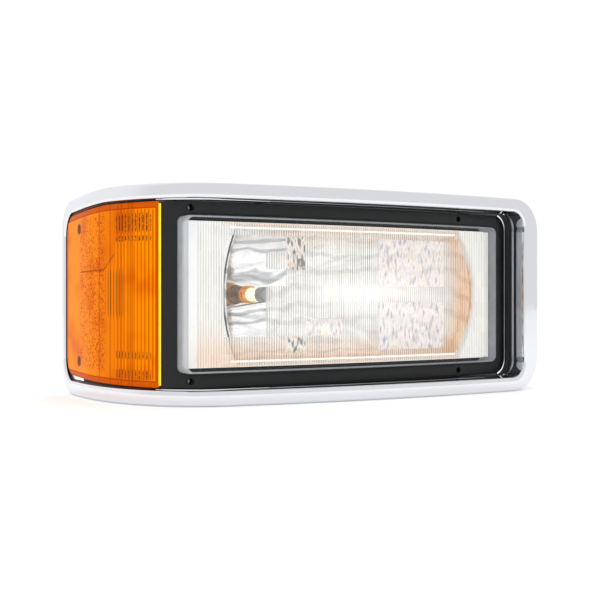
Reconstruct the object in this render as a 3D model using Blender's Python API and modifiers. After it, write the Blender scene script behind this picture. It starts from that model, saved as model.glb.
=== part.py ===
"""Heavy-truck headlight with a corner turn signal.

A chrome bezel wraps round the outboard corner. Inside it sit a black frame, a
wide clear lens, a bucket with an aimable reflector, and an amber turn signal
that follows the bezel round the corner. The frame of reference is +X inboard,
-Y forward and +Z up, with the origin at the middle of the base. The constants
are millimetres, and heights are measured from the bezel's mid-plane.
"""

import math

import bmesh
import bpy
from mathutils import Matrix, Vector
from mathutils.geometry import interpolate_bezier

MM = 0.001

# Bezel: overall size and the plan line of its face.
HEIGHT = 218.0
INBOARD_X = 249.0
OUTBOARD_X = -249.0
FACE_Y = -124.7
REAR_Y = 124.7
FACE_RADIUS = 1272.0
CORNER_FRONT_X = -150.0
CORNER_REAR_Y = 40.0
CORNER_PULL = (60.0, 92.5)
SIDE_TOE_IN = 2.5
BAND = 15.5
INBOARD_BAND = 25.8
REAR_BAND = 12.0
BEZEL_WALL = 2.4
TOP_TAPER = 7.0

# Black frame and clear lens.
FRAME_Y = -105.25
FRAME_CURVE = 2.8e-4
FRAME_APEX_X = -120.0
FRAME_X = (-209.9, 221.2)
FRAME_HALF = 91.3
FRAME_DEPTH = 12.0
LENS_X = (-197.2, 200.2)
LENS_HALF = 76.8
LENS_PROUD = 10.5
LENS_FOOT = 22.0
POCKETS = ((-187.0, 84.5), (145.0, 84.5))

# Bucket, carrier and mounting plane.
FLANGE_DEPTH = 25.4
SHOULDER_Y = 2.0
BUCKET_Y = 64.0
COLLAR_Y = 76.0
COLLAR_R = 35.0
BUCKET_WALL = 2.6
CARRIER_DEPTH = 28.6
CARRIER_WALL = 2.5
MOUNT_Y = -25.0
STUD_X = (-175.0, 205.0)
STUD_Z = 92.2
BEZEL_SCREW_X = (-110.0, 165.0)
BEZEL_SCREW_Z = 97.9
BUCKET_SCREW_X = (-80.0, 60.0)
BUCKET_SCREW_Z = 86.3

# Reflector, its aiming points and the bulb.
BULB_X = -75.0
NECK_Y = 50.0
NECK_R = 13.0
RIM_DEPTH = 18.0
RIM_HALF = 65.0
RIM_OUTBOARD = (-143.0, 169.0)
RIM_INBOARD = (178.0, 112.0)
REFLECTOR_WALL = 2.2
TRIM_GAP = 5.6
AIM = (-165.0, -34.0, -58.0)
ADJUSTER_X = 178.0
ADJUSTER_Z = 58.0

# Turn signal.
SIGNAL_FACE = 2.5
SIGNAL_FOOT = 14.0
SIGNAL_FLANGE = 17.3
SIGNAL_FRONT_DEPTH = 24.0
SIGNAL_TURN = 90.0
SIGNAL_BACK_X = -211.5
SIGNAL_RISE = 4.0
SIGNAL_SOCKET_Y = 45.0
SIGNAL_SCREW_Y = 68.0
SIGNAL_SCREW_Z = 73.0

GAP = 0.4
POST_GAP = 1.3
ROUND = 20


def clear_scene():
    for old in list(bpy.data.objects):
        bpy.data.objects.remove(old)


def new_collection(name):
    made = bpy.data.collections.new(name)
    bpy.context.scene.collection.children.link(made)
    return made


clear_scene()
PARTS = new_collection("headlight_assembly")
CUTTERS = new_collection("cutters")


def clamp01(value):
    return max(0.0, min(1.0, value))


def smooth(value):
    t = clamp01(value)
    return t * t * (3 - 2 * t)


def point(x, y, z):
    """A place in the scene from millimetres, with z from the mid-plane."""
    return Vector((x, y, z + HEIGHT / 2)) * MM


# ---------------------------------------------------------------- plan lines


def face_y(x):
    """The bezel's face on its gently bulged front."""
    return FACE_Y + FACE_RADIUS - math.sqrt(FACE_RADIUS**2 - x * x)


def plan_points():
    """The bezel's face in plan, from the inboard end round to the rear of the side."""
    steps = 80
    reach = INBOARD_X - CORNER_FRONT_X
    front = [INBOARD_X - reach * i / steps for i in range(steps)]
    line = [Vector((x, face_y(x))) for x in front]
    start_y = face_y(CORNER_FRONT_X)
    slope = CORNER_FRONT_X / FACE_RADIUS
    corner = interpolate_bezier(
        Vector((CORNER_FRONT_X, start_y, 0)),
        Vector((CORNER_FRONT_X - CORNER_PULL[0], start_y - slope * CORNER_PULL[0], 0)),
        Vector((OUTBOARD_X, CORNER_REAR_Y - CORNER_PULL[1], 0)),
        Vector((OUTBOARD_X, CORNER_REAR_Y, 0)),
        60,
    )
    line += [p.to_2d() for p in corner]
    line.append(Vector((OUTBOARD_X + SIDE_TOE_IN, REAR_Y)))
    return line


PLAN = plan_points()
RUN = [0.0]
for before, after in zip(PLAN, PLAN[1:]):
    RUN.append(RUN[-1] + (after - before).length)
LENGTH = RUN[-1]


def plan_at(s):
    """Place and inward normal at a distance s along the plan line."""
    s = max(0.0, min(LENGTH, s))
    i = next(k for k in range(1, len(RUN)) if RUN[k] >= s)
    t = (s - RUN[i - 1]) / (RUN[i] - RUN[i - 1])
    place = PLAN[i - 1].lerp(PLAN[i], t)
    ahead = plan_place(s + 3) - plan_place(s - 3)
    return place, Vector((ahead.y, -ahead.x)).normalized()


def plan_place(s):
    s = max(0.0, min(LENGTH, s))
    i = next(k for k in range(1, len(RUN)) if RUN[k] >= s)
    return PLAN[i - 1].lerp(PLAN[i], (s - RUN[i - 1]) / (RUN[i] - RUN[i - 1]))


def run_where(test):
    """The distance along the plan line of the first place that passes test."""
    low = next(k for k, p in enumerate(PLAN) if test(p))
    a, b = RUN[low - 1], RUN[low]
    for _ in range(30):
        middle = (a + b) / 2
        if test(plan_place(middle)):
            b = middle
        else:
            a = middle
    return b


def face_at(x):
    """The bezel's face for an x that may lie on the corner."""
    if x >= CORNER_FRONT_X:
        return face_y(x)
    return plan_place(run_where(lambda p: p.x <= x)).y


def seat_y(x):
    """The long arc that the lens, its seat, the bucket and the carrier all follow."""
    return FRAME_Y + FRAME_CURVE * (x - FRAME_APEX_X) ** 2


def frame_y(x):
    """The black frame's face: an arc that turns back with the corner outboard."""
    arc = seat_y(x)
    turned = face_at(x) + 3.0
    blend = 3.0
    return (arc + turned + math.sqrt((arc - turned) ** 2 + blend**2)) / 2


def lens_y(x):
    return seat_y(x) - LENS_PROUD


TAPER_START = run_where(lambda p: p.y >= -10 and p.x < 0)


def top_taper(s):
    return TOP_TAPER * clamp01((s - TAPER_START) / (LENGTH - TAPER_START))


def on_bezel(s, z, depth):
    """A place behind the bezel's face; on the front, depth runs straight back."""
    place, normal = plan_at(s)
    if normal.x < 0:
        normal = Vector((0, 1))
    if z > 0:
        z -= top_taper(s)
    p = place + normal * depth
    return point(p.x, p.y, z)


SIGNAL_START = run_where(lambda p: p.x <= FRAME_X[0] - 0.7)
SIGNAL_END = LENGTH - REAR_BAND - 1.2


def signal_back(s, short=0.0):
    """Where the signal's depth line ends in plan: straight back at first, then square in."""
    place = plan_place(s)
    back = SIGNAL_FRONT_DEPTH * (1 - smooth((s - SIGNAL_START) / SIGNAL_TURN))
    return Vector((SIGNAL_BACK_X - short, place.y + back))


def signal_depth(s, short=0.0):
    return (signal_back(s, short) - plan_place(s)).length


def on_signal(s, z, depth, short=0.0):
    """A place behind the amber lens's face, along that depth line."""
    place = plan_place(s)
    reach = clamp01((s - SIGNAL_START) / (SIGNAL_END - SIGNAL_START))
    if z > 0:
        z -= top_taper(s)
    else:
        z += SIGNAL_RISE * reach**2
    p = place + (signal_back(s, short) - place).normalized() * depth
    return point(p.x, p.y, z)


def floor_from(place):
    """How far the signal housing's floor lies inboard of a place on the bezel's side."""
    return SIGNAL_BACK_X - place.x / MM


# ---------------------------------------------------------------- outlines


def chain(a0, a1, half, r0, r1, arc_steps, run_steps, crowd=0.0):
    """Upper half of a rounded rectangle, as (along, height) from one end to the other.

    A crowd above 0 puts more of the straight run's places towards its far end, and one
    below 0 puts more of them towards its near end.
    """
    points = []
    for i in range(arc_steps + 1):
        turn = math.radians(90 * i / arc_steps)
        points.append((a0 + r0 * (1 - math.cos(turn)), half - r0 * (1 - math.sin(turn))))
    for i in range(1, run_steps):
        t = i / run_steps
        t += crowd * t * (1 - t)
        points.append((a0 + r0 + (a1 - r1 - a0 - r0) * t, half))
    for i in range(arc_steps + 1):
        turn = math.radians(90 * i / arc_steps)
        points.append((a1 - r1 * (1 - math.sin(turn)), half - r1 * (1 - math.cos(turn))))
    return points


def rim_chain(grow, arc_steps, run_steps):
    """Upper half of the reflector's rim: flat above, bowed at both ends."""
    half = RIM_HALF + grow
    left, left_r = RIM_OUTBOARD[0] - grow, RIM_OUTBOARD[1]
    right, right_r = RIM_INBOARD[0] + grow, RIM_INBOARD[1]

    def left_at(z):
        return left + left_r - math.sqrt(left_r**2 - z * z)

    def right_at(z):
        return right - right_r + math.sqrt(right_r**2 - z * z)

    heights = [half * (0.12 + 0.88 * i / arc_steps) for i in range(arc_steps + 1)]
    points = [(left_at(z), z) for z in heights]
    start, end = left_at(half), right_at(half)
    points += [(start + (end - start) * i / run_steps, half) for i in range(1, run_steps)]
    points += [(right_at(z), z) for z in reversed(heights)]
    return points


def loop_of(upper, place):
    """A closed loop from its upper half and the same half mirrored downwards."""
    lower = [(a, -z) for a, z in reversed(upper)]
    return [place(a, z) for a, z in upper + lower]


def circle_like(loop, x, z, radius, y):
    """A ring with one place for each place of a loop, at the same bearing."""
    centre = point(x, 0, z)
    ring = []
    for p in loop:
        bearing = math.atan2(p.z - centre.z, p.x - centre.x)
        ring.append(point(x + radius * math.cos(bearing), y, z + radius * math.sin(bearing)))
    return ring


# ---------------------------------------------------------------- objects

MATERIALS = {}


def material(name, colour, roughness, metallic=0.0):
    made = bpy.data.materials.new(name)
    made.use_nodes = True
    shader = made.node_tree.nodes["Principled BSDF"]
    shader.inputs["Base Color"].default_value = (*colour, 1)
    shader.inputs["Roughness"].default_value = roughness
    shader.inputs["Metallic"].default_value = metallic
    MATERIALS[name] = made


material("chrome", (0.85, 0.86, 0.88), 0.06, 1.0)
material("black_frame", (0.02, 0.022, 0.025), 0.4)
material("clear_glass", (0.92, 0.93, 0.94), 0.05)
material("amber", (0.95, 0.32, 0.0), 0.12)
material("black_plastic", (0.03, 0.03, 0.032), 0.55)
material("reflector_silver", (0.9, 0.9, 0.9), 0.12, 1.0)
material("white_trim", (0.85, 0.85, 0.86), 0.3, 0.6)
material("rubber", (0.02, 0.02, 0.02), 0.8)
material("steel", (0.55, 0.56, 0.58), 0.35, 1.0)
material("nylon", (0.85, 0.83, 0.76), 0.45)
material("brass", (0.8, 0.6, 0.25), 0.3, 1.0)
material("tungsten", (0.9, 0.6, 0.3), 0.4, 1.0)
material("grey_plastic", (0.35, 0.36, 0.37), 0.5)


def finish(name, bm, finish_name, origin=Vector((0, 0, 0)), cutter=False):
    """An object from a mesh built in scene places, with its origin where it is asked for."""
    bmesh.ops.translate(bm, verts=bm.verts, vec=-origin)
    mesh = bpy.data.meshes.new(name)
    bm.to_mesh(mesh)
    bm.free()
    obj = bpy.data.objects.new(name, mesh)
    obj.location = origin
    if cutter:
        CUTTERS.objects.link(obj)
        obj.hide_render = True
        obj.display_type = "WIRE"
        return obj
    PARTS.objects.link(obj)
    mesh.materials.append(MATERIALS[finish_name])
    mesh.shade_smooth()
    mesh.set_sharp_from_angle(angle=math.radians(35))
    return obj


def skin(loops, cap_last=False, close=False, cap_first=False):
    """Quads between matching loops. A cap joins the upper and lower halves of an end loop."""
    bm = bmesh.new()
    rows = [[bm.verts.new(p) for p in loop] for loop in loops]
    pairs = list(zip(rows, rows[1:]))
    if close:
        pairs.append((rows[-1], rows[0]))
    count = len(rows[0])
    for one, two in pairs:
        for i in range(count):
            j = (i + 1) % count
            bm.faces.new((one[i], one[j], two[j], two[i]))
    for end in [rows[-1]] * cap_last + [rows[0]] * cap_first:
        for i in range(count // 2 - 1):
            bm.faces.new((end[i], end[i + 1], end[count - 2 - i], end[count - 1 - i]))
    bmesh.ops.recalc_face_normals(bm, faces=bm.faces)
    return bm


def thicken(obj, wall, outward):
    """Solidify an open skin; outward grows along its normals."""
    shell = obj.modifiers.new("wall", "SOLIDIFY")
    shell.thickness = wall * MM
    shell.offset = 1.0 if outward else -1.0
    shell.use_even_offset = True
    shell.use_quality_normals = False
    return obj


def boolean(obj, other, operation):
    cut = obj.modifiers.new(other.name, "BOOLEAN")
    cut.operation = operation
    cut.object = other
    cut.solver = "EXACT"


def settle(obj):
    """Splits every face into triangles, so that a curved one has only one shape."""
    obj.modifiers.new("triangles", "TRIANGULATE")
    return obj


def face_towards(bm, direction):
    """Turn a skin's faces so that its largest face looks in a direction."""
    bm.faces.ensure_lookup_table()
    bm.normal_update()
    total = sum((f.normal * f.calc_area() for f in bm.faces), Vector())
    if total.dot(direction) < 0:
        bmesh.ops.reverse_faces(bm, faces=bm.faces)
    return bm


FORWARD = Vector((0, -1, 0))
AXES = {"x": Vector((1, 0, 0)), "y": Vector((0, 1, 0)), "-x": Vector((-1, 0, 0))}


def profile_mesh(profile, closed):
    """The edges to turn about Z, from (radius, height) places that run down the outside."""
    bm = bmesh.new()
    places = [bm.verts.new(Vector((r, 0, h)) * MM) for r, h in profile]
    for a, b in zip(places, places[1:]):
        bm.edges.new((a, b))
    if closed:
        bm.edges.new((places[-1], places[0]))
    mesh = bpy.data.meshes.new("profile")
    bm.to_mesh(mesh)
    bm.free()
    return mesh


def turned(name, profile, finish_name, place, axis="y", steps=ROUND, closed=False, cutter=False):
    """A turned piece: heights of its profile run along the axis from its place."""
    mesh = profile_mesh(profile, closed)
    obj = bpy.data.objects.new(name, mesh)
    obj.location = place
    obj.rotation_euler = Vector((0, 0, 1)).rotation_difference(AXES[axis]).to_euler()
    spin = obj.modifiers.new("turn", "SCREW")
    spin.steps = spin.render_steps = steps
    spin.use_merge_vertices = True
    spin.merge_threshold = 0.00001
    spin.use_smooth_shade = True
    if cutter:
        CUTTERS.objects.link(obj)
        obj.hide_render = True
        obj.display_type = "WIRE"
        return obj
    PARTS.objects.link(obj)
    mesh.materials.append(MATERIALS[finish_name])
    return obj


def rod(radius, low, high):
    """The profile of a plain rod between two heights, outer side running down."""
    return [(0, high), (radius, high), (radius, low), (0, low)]


def rods(name, finish_name, spots, axis="y", steps=12):
    """One operand of several separate rods: each spot is (place, radius, low, high)."""
    bm = bmesh.new()
    turn = Vector((0, 0, 1)).rotation_difference(AXES[axis]).to_matrix().to_4x4()
    for place, radius, low, high in spots:
        made = bmesh.ops.create_cone(
            bm,
            cap_ends=True,
            segments=steps,
            radius1=radius * MM,
            radius2=radius * MM,
            depth=(high - low) * MM,
        )["verts"]
        bmesh.ops.translate(bm, verts=made, vec=Vector((0, 0, (low + high) / 2 * MM)))
        bmesh.ops.transform(bm, matrix=turn, verts=made)
        bmesh.ops.translate(bm, verts=made, vec=place)
    return finish(name, bm, finish_name, cutter=True)


# ---------------------------------------------------------------- bezel

BEZEL_ARC, BEZEL_RUN, BEZEL_CROWD = 4, 18, 0.5


def recess_at(s):
    """How far the frame's face lies behind the bezel's."""
    x = plan_place(s).x
    if x < FRAME_X[0]:
        return 5.0
    return max(5.0, frame_y(x) - face_at(x) + 2.0)


def bezel_section(outer, inner):
    """Loops from the outer flange over the face and down the inner wall."""
    loops = []
    half = HEIGHT / 2

    def row(inset, from_inner, depth_of):
        upper = []
        for (oa, oz), (ia, iz) in zip(outer, inner):
            way = Vector((ia - oa, iz - oz)).normalized()
            base = Vector((ia, iz)) if from_inner else Vector((oa, oz))
            p = base + way * inset
            upper.append((p.x, p.y, depth_of(ia)))
        lower = [(a, -z, d) for a, z, d in reversed(upper)]
        loops.append([on_bezel(a, z, d) for a, z, d in upper + lower])

    row(0.0, False, lambda s: 14.0)
    row(0.0, False, lambda s: 3.6)
    row(1.3, False, lambda s: 1.0)
    row(4.5, False, lambda s: 0.0)
    row(-2.2, True, lambda s: 0.0)
    row(0.0, True, lambda s: 2.2)
    row(1.2, True, recess_at)
    return loops


def chrome_bezel():
    half = HEIGHT / 2
    outer = chain(0.0, LENGTH, half, 38.0, 34.0, BEZEL_ARC, BEZEL_RUN, BEZEL_CROWD)
    inner = chain(
        INBOARD_BAND, LENGTH - REAR_BAND, half - BAND, 18.0, 24.0, BEZEL_ARC, BEZEL_RUN, BEZEL_CROWD
    )
    bm = face_towards(skin(bezel_section(outer, inner)), FORWARD)
    obj = thicken(finish("chrome_bezel", bm, "chrome"), BEZEL_WALL, outward=False)
    posts, bores = [], []
    for x in BEZEL_SCREW_X:
        for z in (BEZEL_SCREW_Z, -BEZEL_SCREW_Z):
            front, back = face_y(x) + 1.4, seat_y(x) + CARRIER_DEPTH - POST_GAP
            posts.append((point(x, 0, z), 4.2, front, back))
            bores.append((point(x, 0, z), 2.3, back - 16, back + 2))
    boolean(obj, rods("bezel_posts", "chrome", posts), "UNION")
    boolean(obj, rods("bezel_post_bores", "chrome", bores, steps=12), "DIFFERENCE")
    side_posts, side_bores = [], []
    for z in (1, -1):
        place = side_screw_place(z)
        side_posts.append((place, 3.6, 1.4, SIGNAL_FLANGE - GAP))
        side_bores.append((place, 1.9, 6.0, SIGNAL_FLANGE + 2))
    boolean(obj, rods("bezel_side_posts", "chrome", side_posts, axis="x"), "UNION")
    boolean(obj, rods("bezel_side_bores", "chrome", side_bores, axis="x", steps=12), "DIFFERENCE")
    return obj


def side_screw_place(sign):
    """Where a turn-signal housing screw's axis meets the bezel's face, on the side."""
    s = run_where(lambda p: p.x < 0 and p.y >= SIGNAL_SCREW_Y)
    z = 99.5 - top_taper(s) if sign > 0 else -99.5
    return point(plan_place(s).x, SIGNAL_SCREW_Y, z)


# ---------------------------------------------------------------- frame and lens

FRONT_ARC, FRONT_RUN = 3, 10
FRAME_RUN, FRAME_CROWD = 13, -0.7


def frame_loop(xs, half, r_out, r_in, depth):
    """A rounded rectangle behind the frame's face, which turns back outboard."""
    upper = chain(xs[0], xs[1], half, r_out, r_in, FRONT_ARC, FRAME_RUN, FRAME_CROWD)
    return loop_of(upper, lambda x, z: point(x, frame_y(x) + depth, z))


def front_loop(xs, half, r_out, r_in, depth):
    """A rounded rectangle behind the long arc that the lens follows."""
    upper = chain(xs[0], xs[1], half, r_out, r_in, FRONT_ARC, FRONT_RUN)
    return loop_of(upper, lambda x, z: point(x, seat_y(x) + depth, z))


def flat_loop(xs, half, radius, y):
    upper = chain(xs[0], xs[1], half, radius, radius, FRONT_ARC, FRONT_RUN)
    return loop_of(upper, lambda x, z: point(x, y, z))


def grown(xs, by):
    return (xs[0] - by, xs[1] + by)


def headlamp_frame():
    window, window_half = grown(LENS_X, 0.8), LENS_HALF + 0.8
    loops = [
        frame_loop(FRAME_X, FRAME_HALF, 3.0, 17.5, FRAME_DEPTH),
        frame_loop(FRAME_X, FRAME_HALF, 3.0, 17.5, 1.7),
        frame_loop(grown(FRAME_X, -1.6), FRAME_HALF - 1.6, 2.8, 16.5, 0.0),
        frame_loop(grown(window, 1.6), window_half + 1.6, 8.8, 8.8, 0.0),
        frame_loop(window, window_half, 7.2, 7.2, 1.7),
        frame_loop(window, window_half, 7.2, 7.2, FRAME_DEPTH - 2),
    ]
    bm = face_towards(skin(loops), FORWARD)
    obj = thicken(finish("headlamp_frame", bm, "black_frame"), 2.2, outward=False)
    cups, bores, holes = [], [], []
    for x, z_high in POCKETS:
        for z in (z_high, -z_high):
            y = frame_y(x)
            cups.append((point(x, y, z), 4.4, 1.0, 14.0))
            bores.append((point(x, y, z), 3.3, -5.0, 10.0))
            holes.append((point(x, y, z), 2.1, 8.0, 16.0))
    boolean(obj, rods("frame_cups", "black_frame", cups), "UNION")
    boolean(obj, rods("frame_pockets", "black_frame", bores), "DIFFERENCE")
    boolean(obj, rods("frame_holes", "black_frame", holes, steps=12), "DIFFERENCE")
    return settle(obj)


def headlamp_lens():
    def at(by, y_of):
        upper = chain(LENS_X[0] + by, LENS_X[1] - by, LENS_HALF - by, 6.5 - by * 0.7,
                      6.5 - by * 0.7, FRONT_ARC, FRONT_RUN)
        return loop_of(upper, lambda x, z: point(x, y_of(x), z))

    loops = [
        at(0.0, lambda x: seat_y(x) + LENS_FOOT),
        at(0.0, lambda x: lens_y(x) + 6.0),
        at(1.6, lambda x: lens_y(x) + 1.8),
        at(5.5, lens_y),
    ]
    bm = face_towards(skin(loops, cap_last=True), FORWARD)
    return thicken(finish("headlamp_lens", bm, "clear_glass"), 3.0, outward=False)


def flat_ring(name, finish_name, outer_front, inner_front, outer_back, inner_back):
    """A closed ring between four loops."""
    bm = skin([outer_front, inner_front, inner_back, outer_back], close=True)
    return finish(name, bm, finish_name)


def lens_gasket():
    front, back = LENS_FOOT + 0.9, FLANGE_DEPTH - GAP

    def at(by, depth):
        return front_loop(grown(LENS_X, -by), LENS_HALF - by, 6.5 - by * 0.7, 6.5 - by * 0.7, depth)

    return flat_ring("lens_gasket", "rubber", at(0.2, front), at(2.7, front), at(0.2, back),
                     at(2.7, back))


def inner_trim():
    """The bright surround that fills the lens outside the reflector's rim."""
    opening = rim_chain(TRIM_GAP, FRONT_ARC, FRONT_RUN)

    def inner(depth):
        return loop_of(opening, lambda x, z: point(x, seat_y(x) + depth, z))

    outer = (LENS_X[0] + 4.2, LENS_X[1] - 4.6)
    return flat_ring(
        "inner_trim",
        "white_trim",
        front_loop(outer, LENS_HALF - 4.2, 4.0, 4.0, 9.0),
        inner(13.5),
        front_loop(outer, LENS_HALF - 4.2, 4.0, 4.0, 12.5),
        inner(17.0),
    )


# ---------------------------------------------------------------- bucket and carrier


def headlamp_housing():
    loops = [
        front_loop((-203.0, 216.0), 88.6, 6.0, 8.0, FLANGE_DEPTH),
        front_loop((-193.6, 196.6), 73.6, 6.0, 6.0, FLANGE_DEPTH),
        flat_loop((-191.0, 194.0), 72.0, 7.0, SHOULDER_Y),
        flat_loop((-150.0, 128.0), 62.0, 20.0, SHOULDER_Y),
        flat_loop((-120.0, 16.0), 44.0, 22.0, BUCKET_Y),
    ]
    loops.append(circle_like(loops[-1], BULB_X, 0, COLLAR_R, BUCKET_Y))
    loops.append(circle_like(loops[-2], BULB_X, 0, COLLAR_R, COLLAR_Y))
    bm = face_towards(skin(loops), FORWARD)
    obj = thicken(finish("headlamp_housing", bm, "black_plastic"), BUCKET_WALL, outward=False)
    bosses, bores = [], []
    for x, z_high in POCKETS:
        for z in (z_high, -z_high):
            y = seat_y(x) + FLANGE_DEPTH
            front = frame_y(x) + 14.0 + GAP - y
            bosses.append((point(x, y, z), 3.9, front, 1.2))
            bores.append((point(x, y, z), 1.9, front - 3, 6.0))
    for x in BUCKET_SCREW_X:
        for z in (BUCKET_SCREW_Z, -BUCKET_SCREW_Z):
            y = seat_y(x) + FLANGE_DEPTH
            bosses.append((point(x, y, z), 3.4, -10.4, 1.2))
            bores.append((point(x, y, z), 1.8, -8.9, 6.0))
    for (x, z) in adjuster_spots():
        bores.append((point(x, 0, z), 3.5, SHOULDER_Y - 6, SHOULDER_Y + 10))
    for (x, z, r) in ((160.0, 32.0, 6.3), (160.0, -6.0, 5.3)):
        bores.append((point(x, 0, z), r, SHOULDER_Y - 6, SHOULDER_Y + 10))
    boolean(obj, rods("housing_bosses", "black_plastic", bosses), "UNION")
    boolean(obj, rods("housing_bores", "black_plastic", bores, steps=16), "DIFFERENCE")
    return obj


def adjuster_spots():
    """The three aiming points on the bucket's shoulder: ball, vertical, horizontal."""
    return ((AIM[0], AIM[2]), (AIM[0], ADJUSTER_Z), (ADJUSTER_X, AIM[2]))


def carrier_ring():
    outer, inner = (-204.6, 238.0), (-197.2, 203.0)
    loops = [
        flat_loop(outer, 104.4, 20.0, MOUNT_Y),
        front_loop(outer, 104.4, 20.0, 20.0, CARRIER_DEPTH),
        front_loop(inner, 80.0, 6.0, 6.0, CARRIER_DEPTH),
        flat_loop(inner, 80.0, 6.0, MOUNT_Y),
    ]
    bm = face_towards(skin(loops), FORWARD)
    obj = thicken(finish("carrier_ring", bm, "black_plastic"), CARRIER_WALL, outward=False)
    pads, bores = [], []
    for x in STUD_X:
        for z in (STUD_Z, -STUD_Z):
            pads.append((point(x, 0, z), 9.0, seat_y(x) + CARRIER_DEPTH + 1.2, MOUNT_Y))
            bores.append((point(x, 0, z), 3.3, MOUNT_Y - 16, MOUNT_Y + 3))
    for x in BEZEL_SCREW_X:
        for z in (BEZEL_SCREW_Z, -BEZEL_SCREW_Z):
            y = seat_y(x) + CARRIER_DEPTH
            bores.append((point(x, y, z), 2.4, -3, CARRIER_WALL + 3))
    for x in BUCKET_SCREW_X:
        for z in (BUCKET_SCREW_Z, -BUCKET_SCREW_Z):
            y = seat_y(x) + CARRIER_DEPTH
            bores.append((point(x, y, z), 2.0, -3, CARRIER_WALL + 3))
    boolean(obj, rods("carrier_pads", "black_plastic", pads, steps=16), "UNION")
    boolean(obj, rods("carrier_bores", "black_plastic", bores, steps=12), "DIFFERENCE")
    return obj


# ---------------------------------------------------------------- reflector group

BOWL_STEPS = 6


def bowl_row(t, rim):
    """A ring of the bowl: the neck's circle at t = 0, the rim at t = 1."""
    row = []
    for x, z in rim:
        bearing = math.atan2(z, x - BULB_X)
        near = (BULB_X + NECK_R * math.cos(bearing), NECK_R * math.sin(bearing))
        rim_y = seat_y(x) + RIM_DEPTH
        row.append((near[0] + (x - near[0]) * t, NECK_Y - (NECK_Y - rim_y) * t * t,
                    near[1] + (z - near[1]) * t))
    return row


def full_rim(grow=0.0):
    upper = rim_chain(grow, FRONT_ARC, FRONT_RUN)
    return upper + [(x, -z) for x, z in reversed(upper)]


def reflector():
    rim = full_rim()
    loops = [[point(*p) for p in bowl_row(1 - i / BOWL_STEPS, rim)] for i in range(BOWL_STEPS + 1)]
    bm = face_towards(skin(loops), FORWARD)
    obj = finish("reflector", bm, "reflector_silver", origin=point(*AIM))
    thicken(obj, REFLECTOR_WALL, outward=False)
    seat = point(BULB_X, NECK_Y, 0)
    boolean(obj, rods("neck_collar", "steel", [(seat, 18.6, 0.8, 7.8)], steps=ROUND), "UNION")
    boolean(obj, rods("neck_bore", "steel", [(seat, 12.8, 0.3, 9.0)], steps=ROUND), "DIFFERENCE")
    return obj


def reflector_frame():
    """The plate that grips the bowl and carries the ball cup and both nuts."""
    front, back = AIM[1] - 2.5, AIM[1] + 2.5

    def contour(y):
        ring = []
        for x, z in full_rim(grow=2 * REFLECTOR_WALL + 1.0):
            t = math.sqrt((NECK_Y - y) / (NECK_Y - seat_y(x) - RIM_DEPTH))
            bearing = math.atan2(z, x - BULB_X)
            near = Vector((BULB_X + NECK_R * math.cos(bearing), NECK_R * math.sin(bearing)))
            ring.append(near.lerp(Vector((x, z)), t))
        return ring

    hole = contour(front)
    outline = flat_loop((-181.0, 192.0), 68.6, 10.0, 0)

    def at(y, places):
        return [Vector((p.x, y * MM, p.z)) for p in places]

    inner = [point(p.x, 0, p.y) for p in hole]
    bm = skin([at(front, outline), at(front, inner), at(back, inner), at(back, outline)], close=True)
    obj = finish("reflector_frame", bm, "black_plastic", origin=point(*AIM))
    ball, vertical, horizontal = adjuster_spots()
    posts = [
        (point(ball[0], AIM[1], ball[1]), 12.0, -8.0, 8.0),
        (point(vertical[0], AIM[1], vertical[1]), 9.6, -8.0, 8.0),
        (point(horizontal[0], AIM[1], horizontal[1]), 9.6, -8.0, 8.0),
    ]
    bores = [
        (point(ball[0], AIM[1], ball[1]), 9.2, -12.0, 12.0),
        (point(vertical[0], AIM[1], vertical[1]), 7.4, -12.0, 12.0),
        (point(horizontal[0], AIM[1], horizontal[1]), 7.4, -12.0, 12.0),
    ]
    boolean(obj, rods("ear_posts", "black_plastic", posts, steps=16), "UNION")
    boolean(obj, rods("ear_bores", "black_plastic", bores, steps=16), "DIFFERENCE")
    return obj


def ball_joint():
    """Steel ball stud fixed to the bucket, and the nylon cup that turns on it."""
    ball, neck, steps = 6.0, 2.6, 6
    shoulder = SHOULDER_Y - AIM[1]
    profile = [(0, shoulder + 11), (3.0, shoulder + 11), (3.0, shoulder + 9),
               (6.2, shoulder + 8.5), (6.2, shoulder + 3.2), (3.1, shoulder + 3.2),
               (3.1, shoulder - GAP), (6.5, shoulder - GAP), (6.5, shoulder - 3),
               (3.6, shoulder - 3.4), (3.6, 12), (neck, 9)]
    start = math.asin(neck / ball)
    for i in range(steps + 1):
        turn = start + (math.pi - start) * i / steps
        profile.append((ball * math.sin(turn) if i < steps else 0, ball * math.cos(turn)))
    turned("pivot_ball_stud", profile, "steel", point(*AIM), steps=12)
    inside, outside, mouth, floor = ball + GAP, 8.8, 0.75, 2.3
    cup = [(0, -inside)]
    for i in range(1, steps + 1):
        turn = math.pi - (math.pi - mouth) * i / steps
        cup.append((inside * math.sin(turn), inside * math.cos(turn)))
    for i in range(steps + 1):
        turn = mouth + (floor - mouth) * i / steps
        cup.append((outside * math.sin(turn), outside * math.cos(turn)))
    cup.append((0, outside * math.cos(floor)))
    turned("pivot_ball_cup", cup, "nylon", point(*AIM), steps=14)


def adjuster(name, x, z):
    """A screw that turns in the bucket's shoulder, and the nut that it moves."""
    place = point(x, SHOULDER_Y, z)
    tip = -63.0
    profile = [(0, 13.5), (4.0, 13.5), (5.6, 12.5), (5.6, 7.0), (7.4, 6.6), (7.4, 3.2),
               (3.1, 3.2), (3.1, -0.5), (5.5, -0.5), (5.5, -3.0), (3.0, -3.4), (3.0, tip + 1.5),
               (1.8, tip), (0, tip)]
    turned(f"{name}_adjuster_screw", profile, "nylon", place, steps=16)
    nut = [(7.0, 7.5), (7.0, -7.5), (4.5, -7.5), (4.5, 7.5)]
    turned(f"{name}_adjuster_nut", nut, "nylon", point(x, AIM[1], z), steps=16, closed=True)


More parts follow.
